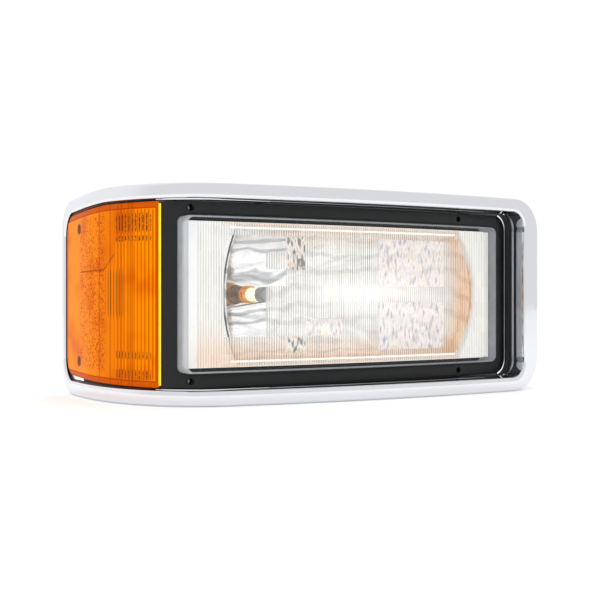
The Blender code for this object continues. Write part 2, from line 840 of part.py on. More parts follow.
def bulb():
    """Halogen capsule on a collar that the retaining ring clamps to the bowl's neck."""
    seat = point(BULB_X, NECK_Y, 0)
    glass = [(0, -86), (3.0, -85.4), (6.0, -83), (7.4, -79), (7.4, -44), (6.4, -40), (6.4, -31),
             (5.4, -31), (5.4, -39.5), (6.4, -43.5), (6.4, -78.6), (5.2, -82), (2.6, -84.2),
             (0, -84.6)]
    turned("bulb_glass", list(reversed(glass)), "clear_glass", seat)
    base = [(0, 30), (9.5, 30), (11.0, 28), (11.0, 12.6), (17.5, 12), (17.5, 8.2), (10.8, 8.0),
            (10.8, -20), (9.0, -22), (9.0, -30.4), (0, -30.4)]
    turned("bulb_base", base, "black_plastic", seat)
    for index, x in enumerate((-6.0, 0.0, 6.0), start=1):
        bm = bmesh.new()
        bmesh.ops.create_cube(bm, size=1)
        bmesh.ops.scale(bm, verts=bm.verts, vec=Vector((0.8, 9.6, 6.3)) * MM)
        where = point(BULB_X + x, NECK_Y + 30.4 + 4.8, 0)
        bmesh.ops.translate(bm, verts=bm.verts, vec=where)
        blade = finish(f"bulb_terminal_{index}", bm, "brass", origin=seat)
        soften = blade.modifiers.new("edge", "BEVEL")
        soften.width = 0.0002
        soften.segments = 1
    ring = [(23.0, 8.0), (23.0, -4.5), (19.0, -4.5), (19.0, 3.5), (12.5, 3.5), (12.5, 8.0)]
    turned("bulb_retaining_ring", ring, "grey_plastic", point(BULB_X, NECK_Y + 9.4, 0), closed=True)


def filament(name, x, z, low, high, turns, radius):
    """A coil on two leads that stand in the capsule's seal."""
    curve = bpy.data.curves.new(name, "CURVE")
    curve.dimensions = "3D"
    curve.bevel_depth = 0.00035
    curve.bevel_resolution = 0
    curve.use_fill_caps = True
    points = [(x - radius, -31.5, z), (x - radius, low, z)]
    count = turns * 8
    for i in range(1, count):
        bearing = math.pi + 2 * math.pi * i / 8
        points.append((x + radius * math.cos(bearing), low + (high - low) * i / count,
                       z + radius * math.sin(bearing)))
    points += [(x + radius + 1.0, high, z), (x + radius + 1.2, low - 4, z + 0.6),
               (x + radius + 1.2, -31.5, z + 0.6)]
    spline = curve.splines.new("POLY")
    spline.points.add(len(points) - 1)
    for target, (px, py, pz) in zip(spline.points, points):
        target.co = (*(Vector((px, py, pz)) * MM), 1)
    obj = bpy.data.objects.new(name, curve)
    obj.location = point(BULB_X, NECK_Y, 0)
    PARTS.objects.link(obj)
    curve.materials.append(MATERIALS["tungsten"])
    return obj


def bulb_shield():
    """Glare cap ahead of the capsule, on one strut from the neck."""
    seat = point(BULB_X, NECK_Y, 0)
    cap = [(0, -94), (6.0, -93.5), (7.2, -91.6), (7.2, -80), (8.2, -80), (8.2, -92), (6.5, -94.5),
           (0, -95)]
    shield = turned("bulb_shield", cap, "steel", seat, steps=16)
    foot, head = Vector((0, -2.2, -14.6)), Vector((0, -88.0, -7.8))
    run = foot - head
    bm = bmesh.new()
    bmesh.ops.create_cube(bm, size=1)
    bmesh.ops.scale(bm, verts=bm.verts, vec=Vector((4.0, run.length, 1.2)) * MM)
    tilt = Matrix.Rotation(math.atan2(run.z, run.y), 3, "X")
    bmesh.ops.rotate(bm, verts=bm.verts, cent=Vector(), matrix=tilt)
    bmesh.ops.translate(bm, verts=bm.verts, vec=seat + (foot + head) / 2 * MM)
    boolean(shield, finish("shield_strut", bm, "steel", cutter=True), "UNION")
    return shield


def access_cap():
    """Bayonet cap over the bucket's collar, and the seal under its skirt."""
    place = point(BULB_X, BUCKET_Y + BUCKET_WALL, 0)
    cap = [(0, 37), (34, 37), (38.5, 34), (42, 28), (42, 3.4), (38.2, 3.4), (38.2, 26), (35, 32),
           (0, 34)]
    turned("access_cap", cap, "rubber", place, steps=32)
    seal = [(42.0, 3.0), (42.0, 0.4), (38.4, 0.4), (38.4, 3.0)]
    turned("cap_seal", seal, "rubber", place, steps=32, closed=True)


# ---------------------------------------------------------------- turn signal

SIGNAL_ARC, SIGNAL_RUN, SIGNAL_REAR_ROUND = 3, 12, 21.0


def signal_loop(trim_start, trim_end, half, radius, depth_of, short=0.0):
    """A rounded rectangle behind the amber lens's face, rounder at its rear end."""
    upper = chain(SIGNAL_START + trim_start, SIGNAL_END - trim_end, half, radius,
                  radius + SIGNAL_REAR_ROUND, SIGNAL_ARC, SIGNAL_RUN)
    return loop_of(upper, lambda s, z: on_signal(s, z, depth_of(s), short))


def signal_screw_spots():
    """Where the two amber lens screws' axes cross the lens's face."""
    s = run_where(lambda p: p.x < 0 and p.y >= SIGNAL_SCREW_Y)
    x = plan_place(s).x
    return [point(x, SIGNAL_SCREW_Y, SIGNAL_SCREW_Z), point(x, SIGNAL_SCREW_Y, -SIGNAL_SCREW_Z)]


def turn_signal_lens():
    loops = [
        signal_loop(0, 0.8, 91.4, 5.2, lambda s: SIGNAL_FOOT),
        signal_loop(0, 0.8, 91.4, 5.2, lambda s: SIGNAL_FACE + 2.0),
        signal_loop(0.7, 1.5, 90.7, 4.9, lambda s: SIGNAL_FACE + 0.6),
        signal_loop(2.2, 3.0, 89.2, 4.4, lambda s: SIGNAL_FACE),
    ]
    inside = [
        signal_loop(3.6, 4.4, 87.8, 3.0, lambda s: SIGNAL_FACE + 2.4),
        signal_loop(2.4, 3.2, 89.0, 3.4, lambda s: SIGNAL_FACE + 3.4),
        signal_loop(2.4, 3.2, 89.0, 3.4, lambda s: SIGNAL_FOOT),
    ]
    bm = skin(inside + loops, cap_last=True, cap_first=True)
    obj = finish("turn_signal_lens", bm, "amber")
    cups = [(p, 5.8, SIGNAL_FACE + 1.0, SIGNAL_FOOT) for p in signal_screw_spots()]
    bores = [(p, 4.3, -4.0, SIGNAL_FOOT - 3) for p in signal_screw_spots()]
    holes = [(p, 1.9, 8.0, SIGNAL_FOOT + 3) for p in signal_screw_spots()]
    boolean(obj, rods("lens_cups", "amber", cups, axis="x"), "UNION")
    boolean(obj, rods("lens_cup_bores", "amber", bores, axis="x"), "DIFFERENCE")
    boolean(obj, rods("lens_cup_holes", "amber", holes, axis="x", steps=12), "DIFFERENCE")
    return settle(obj)


def turn_signal_gasket():
    front, back = SIGNAL_FOOT + 0.5, SIGNAL_FLANGE - 1.0
    return flat_ring(
        "turn_signal_gasket",
        "rubber",
        signal_loop(0.2, 1.0, 91.2, 3.0, lambda s: front),
        signal_loop(2.9, 3.7, 88.5, 2.0, lambda s: front),
        signal_loop(0.2, 1.0, 91.2, 3.0, lambda s: back),
        signal_loop(2.9, 3.7, 88.5, 2.0, lambda s: back),
    )


def turn_signal_housing():
    loops = [
        signal_loop(1.6, 4.0, 102.5, 8.0, lambda s: SIGNAL_FLANGE),
        signal_loop(4.6, 7.0, 86.5, 4.0, lambda s: SIGNAL_FLANGE),
        signal_loop(5.6, 8.0, 85.5, 4.0, lambda s: signal_depth(s) - 3.0),
        signal_loop(8.5, 11.0, 82.5, 3.0, signal_depth),
    ]
    bm = face_towards(skin(loops, cap_last=True), Vector((-1, -1, 0)))
    obj = thicken(finish("turn_signal_housing", bm, "black_plastic"), 2.2, outward=False)
    spots = signal_screw_spots()
    posts = [(p, 4.6, SIGNAL_FOOT + GAP, floor_from(p) + 1) for p in spots]
    bores = [(p, 1.7, SIGNAL_FOOT - 2, 30.0) for p in spots]
    bores += [(side_screw_place(sign), 1.8, SIGNAL_FLANGE - 3, SIGNAL_FLANGE + 6) for sign in (1, -1)]
    socket = signal_socket_place()
    bores.append((socket, 13.2, floor_from(socket) - 6, floor_from(socket) + 6))
    boolean(obj, rods("signal_posts", "black_plastic", posts, axis="x"), "UNION")
    boolean(obj, rods("signal_bores", "black_plastic", bores, axis="x", steps=20), "DIFFERENCE")
    return obj


def signal_socket_place():
    s = run_where(lambda p: p.x < 0 and p.y >= SIGNAL_SOCKET_Y)
    return point(plan_place(s).x, SIGNAL_SOCKET_Y, 0)


def turn_signal_reflector():
    short = 3.4

    def bowl(t):
        return lambda s: SIGNAL_FLANGE + 1.5 + (signal_depth(s, short) - SIGNAL_FLANGE - 1.5) * t

    loops = [
        signal_loop(7.4, 10.0, 84.0, 3.0, bowl(0.0), short),
        signal_loop(9.5, 13.0, 78.5, 5.0, bowl(0.62), short),
        signal_loop(13.5, 18.0, 69.5, 9.0, bowl(0.93), short),
        signal_loop(18.0, 24.0, 57.5, 12.0, bowl(1.0), short),
    ]
    bm = face_towards(skin(loops, cap_last=True), Vector((-1, -1, 0)))
    obj = thicken(finish("turn_signal_reflector", bm, "reflector_silver"), 1.2, outward=False)
    bores = [(p, 6.2, SIGNAL_FOOT, floor_from(p) + 4) for p in signal_screw_spots()]
    socket = signal_socket_place()
    bores.append((socket, 12.6, SIGNAL_FOOT, floor_from(socket) + 4))
    boolean(obj, rods("signal_reflector_bores", "steel", bores, axis="x", steps=20), "DIFFERENCE")
    return obj


def turn_bulb():
    """Twist-lock socket in the housing's back, with its seal, bulb base and bulb."""
    place = signal_socket_place()
    back = floor_from(place) + 3.0
    socket = [(0, back + 36), (8.5, back + 36), (9.5, back + 34), (9.5, back + 22),
              (11.5, back + 20), (11.5, back + 7), (17, back + 6), (17, back + 3), (11.6, back + 3),
              (11.6, back - 6), (0, back - 6)]
    turned("turn_socket", socket, "grey_plastic", place, axis="x")
    seal = [(17.0, back + 2.6), (17.0, back + 0.4), (13.4, back + 0.4), (13.4, back + 2.6)]
    turned("turn_socket_seal", seal, "rubber", place, axis="x", closed=True)
    base = [(0, back - 6.4), (8.0, back - 6.4), (8.0, back - 14), (0, back - 14)]
    turned("turn_bulb_base", base, "brass", place, axis="x", steps=20)
    tip = 7.5
    glass = [(0, back - 14.4), (6.5, back - 14.4), (8.6, back - 18), (9.0, back - 22),
             (8.0, tip + 4), (5.0, tip + 1), (0, tip)]
    turned("turn_bulb_glass", glass, "amber", place, axis="x", steps=20)


# ---------------------------------------------------------------- fasteners


def screw(name, place, head_r, head_h, shaft_r, shaft, axis="y", sign=1, finish_name="steel"):
    """A pan-head screw: its head stands on its place, and its shaft runs the other way."""
    up = [(0, head_h), (head_r * 0.75, head_h), (head_r, head_h * 0.5), (head_r, 0),
          (shaft_r, 0), (shaft_r, -shaft + 1), (0, -shaft)]
    if sign < 0:
        up = [(r, -h) for r, h in reversed(up)]
    return turned(name, up, finish_name, place, axis=axis, steps=10)


def fasteners():
    number = 0
    for x in BEZEL_SCREW_X:
        for z in (BEZEL_SCREW_Z, -BEZEL_SCREW_Z):
            number += 1
            y = seat_y(x) + CARRIER_DEPTH + CARRIER_WALL + 0.9
            screw(f"bezel_screw_{number}", point(x, y, z), 3.5, 2.6, 1.9, 17)
    number = 0
    for x in BUCKET_SCREW_X:
        for z in (BUCKET_SCREW_Z, -BUCKET_SCREW_Z):
            number += 1
            y = seat_y(x) + CARRIER_DEPTH + CARRIER_WALL + 0.9
            screw(f"housing_screw_{number}", point(x, y, z), 3.0, 2.2, 1.4, 13)
    number = 0
    for x, z_high in POCKETS:
        for z in (z_high, -z_high):
            number += 1
            place = point(x, frame_y(x) + 9.6, z)
            screw(f"frame_screw_{number}", place, 2.9, 2.0, 1.5, 15, sign=-1)
    for name, place in zip(("upper", "lower"), signal_screw_spots()):
        at = place + Vector((SIGNAL_FOOT - 3.4, 0, 0)) * MM
        screw(f"lens_screw_{name}", at, 3.6, 2.4, 1.4, 14, axis="x", sign=-1)
    for name, sign in (("upper", 1), ("lower", -1)):
        at = side_screw_place(sign) + Vector((SIGNAL_FLANGE + 2.6, 0, 0)) * MM
        screw(f"turn_housing_screw_{name}", at, 3.2, 2.2, 1.4, 11, axis="x")
    number = 0
    for x in STUD_X:
        for z in (STUD_Z, -STUD_Z):
            number += 1
            place = point(x, MOUNT_Y, z)
            stud = [(0, 22), (3.0, 21), (3.0, -15), (0, -15)]
            turned(f"mounting_stud_{number}", stud, "steel", place, steps=12)
            nut(f"mounting_nut_{number}", place)


def nut(name, place):
    """Flanged hexagon nut run down on its stud, a panel's thickness off the pad."""
    low = 2.5
    flange = [(8.6, low + 1.6), (8.6, low), (3.35, low), (3.35, low + 7.0), (5.8, low + 6.6),
              (5.8, low + 1.9)]
    turned(name, flange, "steel", place, steps=12, closed=True)


def grommet_and_vent():
    grommet = [(0, 9.5), (5.0, 9.5), (8.8, 7.0), (8.8, 3.0), (5.9, 3.0), (5.9, -0.4), (8.0, -0.4),
               (8.0, -2.4), (0, -2.4)]
    turned("wiring_grommet", grommet, "rubber", point(160, SHOULDER_Y, 32))
    vent = [(0, 8.5), (6.0, 8.5), (7.6, 7.0), (7.6, 3.0), (4.9, 3.0), (4.9, -2.0), (0, -2.0)]
    turned("vent_cap", vent, "rubber", point(160, SHOULDER_Y, -6))


def pivot(name, place, members):
    """An empty on a joint's axis that carries the pieces of a moving body."""
    empty = bpy.data.objects.new(name, None)
    empty.location = place
    PARTS.objects.link(empty)
    for member in members:
        obj = bpy.data.objects[member]
        obj.parent = empty
        obj.location = obj.location - empty.location
    return empty


def build():
    chrome_bezel()
    headlamp_frame()
    headlamp_lens()
    lens_gasket()
    inner_trim()
    headlamp_housing()
    carrier_ring()
    reflector()
    reflector_frame()
    ball_joint()
    adjuster("vertical", AIM[0], ADJUSTER_Z)
    adjuster("horizontal", ADJUSTER_X, AIM[2])
    bulb()
    filament("low_beam_filament", 1.2, 1.2, -62, -55, 4, 1.1)
    filament("high_beam_filament", -1.6, -2.4, -74, -67, 4, 1.1)
    bulb_shield()
    access_cap()
    turn_signal_lens()
    turn_signal_gasket()
    turn_signal_housing()
    turn_signal_reflector()
    turn_bulb()
    fasteners()
    grommet_and_vent()
    aimed = ["reflector", "reflector_frame", "bulb_shield", "bulb_glass", "bulb_base",
             "low_beam_filament", "high_beam_filament", "vertical_adjuster_nut",
             "horizontal_adjuster_nut"]
    aimed += [f"bulb_terminal_{index}" for index in (1, 2, 3)]
    pivot("aim_point", point(*AIM), aimed)


build()
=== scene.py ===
# %% [markdown]
# # A truck headlight with a corner turn signal
# The object is a chromed bezel that wraps round the outboard corner of a truck. It holds a
# wide clear headlamp in a black frame and an amber turn signal. This lesson builds what
# the eye sees on top of a CAD model of the same lamp. Everything is in one frame: +X runs
# inboard along the lamp, -Y points forward out of the lens and +Z is up.

import math

import bmesh
import bpy
from mathutils import Matrix, Vector
from mathutils.geometry import interpolate_bezier


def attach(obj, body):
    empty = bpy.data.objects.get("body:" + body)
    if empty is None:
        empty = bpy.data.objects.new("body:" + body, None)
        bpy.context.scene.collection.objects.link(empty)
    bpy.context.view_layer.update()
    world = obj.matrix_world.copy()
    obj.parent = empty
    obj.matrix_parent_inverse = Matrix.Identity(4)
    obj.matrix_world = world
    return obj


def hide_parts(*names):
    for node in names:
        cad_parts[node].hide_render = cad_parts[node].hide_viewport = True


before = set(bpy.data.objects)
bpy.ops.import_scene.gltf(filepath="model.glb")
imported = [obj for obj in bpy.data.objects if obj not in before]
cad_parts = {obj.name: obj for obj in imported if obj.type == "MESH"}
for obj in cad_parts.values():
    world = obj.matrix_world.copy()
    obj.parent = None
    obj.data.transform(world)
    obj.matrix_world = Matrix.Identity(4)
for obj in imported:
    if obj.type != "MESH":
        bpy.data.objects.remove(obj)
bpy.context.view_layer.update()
print("nodes:", len(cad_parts))

# %% [markdown]
# ## Camera, floor and light
# The lamp is seen from its outboard side at its own height, from a little over a metre
# away, so the camera sits on the mid-plane and looks level. Setting it up first means
# that each later piece can be judged from the right place. The floor is a pale sheet, the
# sky is white, and two large soft panels give chrome something to show.

# %% Camera
CAMERA_PLACE = Vector((-0.6362, -1.12655, 0.1085))
CAMERA_TURN = math.radians(-28.8)
camera_data = bpy.data.cameras.new("camera")
camera_data.lens = 70.2
camera_data.sensor_width = 36
camera = bpy.data.objects.new("camera", camera_data)
camera.location = CAMERA_PLACE
camera.rotation_euler = (math.pi / 2, 0, CAMERA_TURN)
bpy.context.scene.collection.objects.link(camera)
bpy.context.scene.camera = camera
bpy.context.scene.view_settings.view_transform = "Standard"
print("camera at", tuple(round(c, 3) for c in CAMERA_PLACE))


# %% Two helpers for colour and nodes
def linear(hex_colour):
    """An sRGB hex colour as linear red, green, blue and alpha."""
    channels = [int(hex_colour[i : i + 2], 16) / 255 for i in (1, 3, 5)]
    light = [c / 12.92 if c <= 0.04045 else ((c + 0.055) / 1.055) ** 2.4 for c in channels]
    return (*light, 1.0)


def add_node(tree, kind, settings=None, links=None):
    """Adds a node, gives it its settings, and links its inputs."""
    node = tree.nodes.new(kind)
    for key, value in (settings or {}).items():
        if isinstance(key, str) and hasattr(node, key):
            setattr(node, key, value)
        else:
            node.inputs[key].default_value = value
    for key, source in (links or {}).items():
        tree.links.new(source, node.inputs[key])
    return node


def start_material(name, colour, roughness, metallic=0.0, sockets=None):
    """A material with its main shader set, and its node tree."""
    material = bpy.data.materials.new(name)
    material.use_nodes = True
    tree = material.node_tree
    shader = tree.nodes["Principled BSDF"]
    shader.inputs["Base Color"].default_value = linear(colour)
    shader.inputs["Roughness"].default_value = roughness
    shader.inputs["Metallic"].default_value = metallic
    for key, value in (sockets or {}).items():
        shader.inputs[key].default_value = value
    return material, tree, shader


print("chrome white is", [round(c, 3) for c in linear("#e9ebee")])

# %% Floor, sky and soft panels
world = bpy.data.worlds.new("studio_sky")
world.use_nodes = True
sky_tree = world.node_tree
sky = sky_tree.nodes["Background"]
sky_way = add_node(sky_tree, "ShaderNodeTexCoord")
sky_split = add_node(sky_tree, "ShaderNodeSeparateXYZ", {}, {0: sky_way.outputs["Generated"]})
sky_fade = add_node(
    sky_tree, "ShaderNodeMapRange",
    {"interpolation_type": "SMOOTHSTEP", "From Min": -0.15, "From Max": 0.5, "To Min": 0.9, "To Max": 1.05},
    {"Value": sky_split.outputs["Y"]},
)
sky_tree.links.new(sky_fade.outputs[0], sky.inputs["Strength"])
sky.inputs["Color"].default_value = linear("#ffffff")
bpy.context.scene.world = world

floor_paint, floor_tree, floor_shader = start_material("matt_studio_floor_paint", "#fafafa", 0.9)
floor_shader.inputs["Emission Color"].default_value = linear("#ffffff")
floor_shader.inputs["Emission Strength"].default_value = 0.2
grain = add_node(floor_tree, "ShaderNodeTexNoise", {"Scale": 300.0, "Detail": 2.0})
floor_bump = add_node(
    floor_tree, "ShaderNodeBump", {"Strength": 0.02, "Distance": 0.0005}, {"Height": grain.outputs[0]}
)
floor_tree.links.new(floor_bump.outputs[0], floor_shader.inputs["Normal"])

floor_mesh = bmesh.new()
bmesh.ops.create_grid(floor_mesh, x_segments=8, y_segments=8, size=6.0)
floor_data = bpy.data.meshes.new("studio_floor")
floor_mesh.to_mesh(floor_data)
floor_mesh.free()
floor_data.materials.append(floor_paint)
floor = bpy.data.objects.new("studio_floor", floor_data)
floor.location.z = -0.0005
bpy.context.scene.collection.objects.link(floor)


def soft_panel(name, place, aim, size, power):
    """A large rectangular lamp that looks at a point."""
    data = bpy.data.lights.new(name, "AREA")
    data.shape = "RECTANGLE"
    data.size, data.size_y = size
    data.energy = power
    panel = bpy.data.objects.new(name, data)
    panel.location = place
    look = Vector(aim) - Vector(place)
    panel.rotation_euler = look.to_track_quat("-Z", "Y").to_euler()
    panel.visible_glossy = False
    bpy.context.scene.collection.objects.link(panel)


soft_panel("overhead_panel", (-0.2, -0.5, 1.7), (0, 0, 0.1), (1.8, 1.2), 3)
soft_panel("side_panel", (-1.9, -0.9, 0.7), (0, 0, 0.1), (1.2, 1.2), 2)
soft_panel("front_panel", (0.9, -1.9, 0.6), (0, 0, 0.1), (0.9, 0.9), 1.5)

# %% [markdown]
# ## The lamp's own lines
# Nearly every piece follows one of two lines seen from above: the bezel's face, which runs
# along the front and turns round the corner, and the long shallow arc that the lens and its
# seat share. Writing each line once as a function, in millimetres, keeps the pieces in step.
# Heights are measured from the bezel's mid-plane.

# %% Sizes
MM = 0.001
HEIGHT = 218.0
BEZEL_X = (-249.0, 249.0)
BEZEL_Y = (-124.7, 124.7)
FACE_RADIUS = 1272.0
CORNER_FRONT_X = -150.0
CORNER_REAR_Y = 40.0
FRAME_Y = -105.25
FRAME_CURVE = 2.8e-4
FRAME_APEX_X = -120.0
FRAME_X = (-209.9, 221.2)
FRAME_HALF = 91.3
LENS_X = (-197.2, 200.2)
LENS_HALF = 76.8
LENS_PROUD = 10.5
POCKETS = ((-187.0, 84.5), (145.0, 84.5))
BULB_X, NECK_Y, NECK_R = -75.0, 50.0, 13.0


# %% The bezel's line
def point(x, y, z):
    """A place in the scene from millimetres, with z from the mid-plane."""
    return Vector((x, y, z + HEIGHT / 2)) * MM


def clamp01(value):
    return max(0.0, min(1.0, value))


def smooth(value):
    t = clamp01(value)
    return t * t * (3 - 2 * t)


def face_y(x):
    return BEZEL_Y[0] + FACE_RADIUS - math.sqrt(FACE_RADIUS**2 - x * x)


def bezel_line():
    """The face in plan, from the inboard end round the corner to the rear of the side."""
    front_steps = 160
    reach = BEZEL_X[1] - CORNER_FRONT_X
    xs = [BEZEL_X[1] - reach * i / front_steps for i in range(front_steps)]
    line = [Vector((x, face_y(x))) for x in xs]
    start = Vector((CORNER_FRONT_X, face_y(CORNER_FRONT_X), 0))
    slope = CORNER_FRONT_X / FACE_RADIUS
    pull_one = start + Vector((-60.0, slope * -60.0, 0))
    end = Vector((BEZEL_X[0], CORNER_REAR_Y, 0))
    pull_two = end - Vector((0, 92.5, 0))
    line += [p.to_2d() for p in interpolate_bezier(start, pull_one, pull_two, end, 160)]
    line += [Vector((BEZEL_X[0] + 2.5 * i / 20, 40 + 84.7 * i / 20)) for i in range(1, 21)]
    return line


LINE = bezel_line()
RUN = [0.0]
for before, after in zip(LINE, LINE[1:]):
    RUN.append(RUN[-1] + (after - before).length)
LENGTH = RUN[-1]
print("bezel line", round(LENGTH, 1), "mm long")


# %% Places along the bezel's line
def line_place(s):
    """The place at a distance s along the line."""
    s = max(0.0, min(LENGTH, s))
    low, high = 0, len(RUN) - 1
    while high - low > 1:
        middle = (low + high) // 2
        if RUN[middle] < s:
            low = middle
        else:
            high = middle
    return LINE[low].lerp(LINE[high], (s - RUN[low]) / (RUN[high] - RUN[low]))


def line_inward(s):
    ahead = line_place(s + 2) - line_place(s - 2)
    return Vector((ahead.y, -ahead.x)).normalized()


def run_where(test):
    """The distance along the line of the first place that passes a test."""
    last = next(k for k, p in enumerate(LINE) if test(p))
    a, b = RUN[last - 1], RUN[last]
    for _ in range(30):
        middle = (a + b) / 2
        if test(line_place(middle)):
            b = middle
        else:
            a = middle
    return b


def seat_y(x):
    """The long arc that the lens, its seat, the bucket and the carrier follow."""
    return FRAME_Y + FRAME_CURVE * (x - FRAME_APEX_X) ** 2


def frame_y(x):
    """The black frame's face: the same arc, turned back with the corner outboard."""
    face = face_y(x) if x >= CORNER_FRONT_X else line_place(run_where(lambda p: p.x <= x)).y
    arc, turned = seat_y(x), face + 3.0
    return (arc + turned + math.sqrt((arc - turned) ** 2 + 9.0)) / 2


def lens_y(x):
    return seat_y(x) - LENS_PROUD


TAPER_START = run_where(lambda p: p.y >= -10 and p.x < 0)
SIGNAL_START = run_where(lambda p: p.x <= FRAME_X[0] - 0.7)
SIGNAL_END = LENGTH - 13.2
print("signal runs for", round(SIGNAL_END - SIGNAL_START, 1), "mm round the corner")


# %% Outlines
def chain(a0, a1, half, r0, r1, arc_steps, run_steps):
    """Upper half of a rounded rectangle, as (along, height) from one end to the other."""
    points = []
    for i in range(arc_steps + 1):
        turn = math.radians(90 * i / arc_steps)
        points.append((a0 + r0 * (1 - math.cos(turn)), half - r0 * (1 - math.sin(turn))))
    for i in range(1, run_steps):
        points.append((a0 + r0 + (a1 - r1 - a0 - r0) * i / run_steps, half))
    for i in range(arc_steps + 1):
        turn = math.radians(90 * i / arc_steps)
        points.append((a1 - r1 * (1 - math.sin(turn)), half - r1 * (1 - math.cos(turn))))
    return points


def loop_of(upper, place):
    """A closed loop from an upper half and the same half mirrored downwards."""
    lower = [(a, -z) for a, z in reversed(upper)]
    return [place(a, z) for a, z in upper + lower]


def front_loop(by, half, radius, depth, y_of=seat_y, arc=8, run=48, ends=LENS_X):
    """A rounded rectangle on one of the long arcs, smaller than its ends by an inset."""
    upper = chain(ends[0] + by, ends[1] - by, half - by, radius, radius, arc, run)
    return loop_of(upper, lambda x, z: point(x, y_of(x) + depth, z))


print("a lens outline has", len(front_loop(0, LENS_HALF, 6, 0)), "points")


# %% Meshes from outlines
def skin(loops, cap_last=False, close=False):
    """Quads between matching loops. A cap joins the two halves of the last one."""
    mesh = bmesh.new()
    rows = [[mesh.verts.new(p) for p in loop] for loop in loops]
    pairs = list(zip(rows, rows[1:]))
    if close:
        pairs.append((rows[-1], rows[0]))
    count = len(rows[0])
    for one, two in pairs:
        for i in range(count):
            j = (i + 1) % count
            mesh.faces.new((one[i], one[j], two[j], two[i]))
    if cap_last:
        last = rows[-1]
        for i in range(count // 2 - 1):
            mesh.faces.new((last[i], last[i + 1], last[count - 2 - i], last[count - 1 - i]))
    bmesh.ops.recalc_face_normals(mesh, faces=mesh.faces)
    return mesh


def turn_towards(mesh, direction):
    """Makes most of an open skin's area look in a direction."""
    mesh.normal_update()
    total = sum((f.normal * f.calc_area() for f in mesh.faces), Vector())
    if total.dot(Vector(direction)) < 0:
        bmesh.ops.reverse_faces(mesh, faces=mesh.faces)
    return mesh


def make_piece(name, mesh, materials, body="lamp_body", sharp=40):
    """An object from a mesh, smooth-shaded, that rides on one of the CAD bodies."""
    data = bpy.data.meshes.new(name)
    mesh.to_mesh(data)
    mesh.free()
    for material in materials if isinstance(materials, list) else [materials]:
        data.materials.append(material)
    data.shade_smooth()
    data.set_sharp_from_angle(angle=math.radians(sharp))
    piece = bpy.data.objects.new(name, data)
    bpy.context.scene.collection.objects.link(piece)
    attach(piece, body)
    return piece


def thicken(piece, wall):
    """Gives an open skin a wall behind its face."""
    shell = piece.modifiers.new("wall", "SOLIDIFY")
    shell.thickness = wall * MM
    shell.offset = -1.0
    shell.use_even_offset = True
    return piece


FORWARD = (0, -1, 0)
OUTBOARD = (-1, -1, 0)


# %% Turned pieces
AXES = {"x": Vector((1, 0, 0)), "-x": Vector((-1, 0, 0)), "y": Vector((0, 1, 0))}


def turned_mesh(profiles, place, axis="y", steps=40):
    """A mesh spun from closed (radius, height) outlines, with heights along an axis."""
    mesh = bmesh.new()
    for profile in profiles:
        rings = []
        for r, h in profile:
            if r < 1e-6:
                rings.append([mesh.verts.new(Vector((0, 0, h)) * MM)])
                continue
            bearings = [2 * math.pi * k / steps for k in range(steps)]
            spots = [Vector((r * math.cos(b), r * math.sin(b), h)) * MM for b in bearings]
            rings.append([mesh.verts.new(p) for p in spots])
        closed = len(rings[0]) > 1
        pairs = list(zip(rings, rings[1:] + rings[:1] if closed else rings[1:]))
        for one, two in pairs:
            for k in range(steps):
                n = (k + 1) % steps
                if len(one) == 1 and len(two) == 1:
                    continue
                if len(one) == 1:
                    mesh.faces.new((one[0], two[k], two[n]))
                elif len(two) == 1:
                    mesh.faces.new((one[k], two[0], one[n]))
                else:
                    mesh.faces.new((one[k], two[k], two[n], one[n]))
    bmesh.ops.recalc_face_normals(mesh, faces=mesh.faces)
    spin = Vector((0, 0, 1)).rotation_difference(AXES[axis]).to_matrix().to_4x4()
    bmesh.ops.transform(mesh, matrix=Matrix.Translation(place) @ spin, verts=mesh.verts)
    return mesh


def rod_profile(radius, low, high, edge=0.4):
    """A rod with softened ends."""
    return [(0, high), (radius - edge, high), (radius, high - edge), (radius, low + edge),
            (radius - edge, low), (0, low)]


def join_meshes(meshes):
    """One mesh from several."""
    whole = bmesh.new()
    for mesh in meshes:
        data = bpy.data.meshes.new("part")
        mesh.to_mesh(data)
        mesh.free()
        whole.from_mesh(data)
        bpy.data.meshes.remove(data)
    return whole


# %% [markdown]
# ## Finishes
# Each finish is named for the real material and how its surface was made. The patterns
# are in object coordinates, in metres, so a noise scale of 1000 has features of a
# millimetre. Grain finer than the render can show is drawn a little coarser than life.

# %% Noise that drives roughness and bump
def add_grain(tree, shader, size_mm, rough_low, rough_high, bump_mm, strength=0.3, detail=3.0):
    """Uneven roughness and a fine bump from one noise of a real size."""
    where = add_node(tree, "ShaderNodeTexCoord")
    noise = add_node(
        tree, "ShaderNodeTexNoise", {"Scale": 1000 / size_mm, "Detail": detail},
        {"Vector": where.outputs["Object"]},
    )
    span = add_node(
        tree, "ShaderNodeMapRange", {"To Min": rough_low, "To Max": rough_high}, {"Value": noise.outputs[0]}
    )
    bump = add_node(
        tree,
        "ShaderNodeBump",
        {"Strength": strength, "Distance": bump_mm * MM},
        {"Height": noise.outputs[0]},
    )
    tree.links.new(span.outputs[0], shader.inputs["Roughness"])
    tree.links.new(bump.outputs[0], shader.inputs["Normal"])
    return where, noise


# Bright chromium plate on pressed steel: a mirror with the faintest roll of the pressing.
chrome_plate, tree, shader = start_material("bright_chromium_plate", "#e2e4e8", 0.05, 1.0)
add_grain(tree, shader, 14.0, 0.03, 0.08, 0.05, 0.12, 2.0)

# Black ABS with a fine spark-eroded grain, as the lens frame is moulded.
black_abs, tree, shader = start_material(
    "spark_eroded_black_abs", "#0f1213", 0.42, 0.0, {"Specular IOR Level": 0.32}
)
add_grain(tree, shader, 0.7, 0.34, 0.5, 0.04, 0.35)

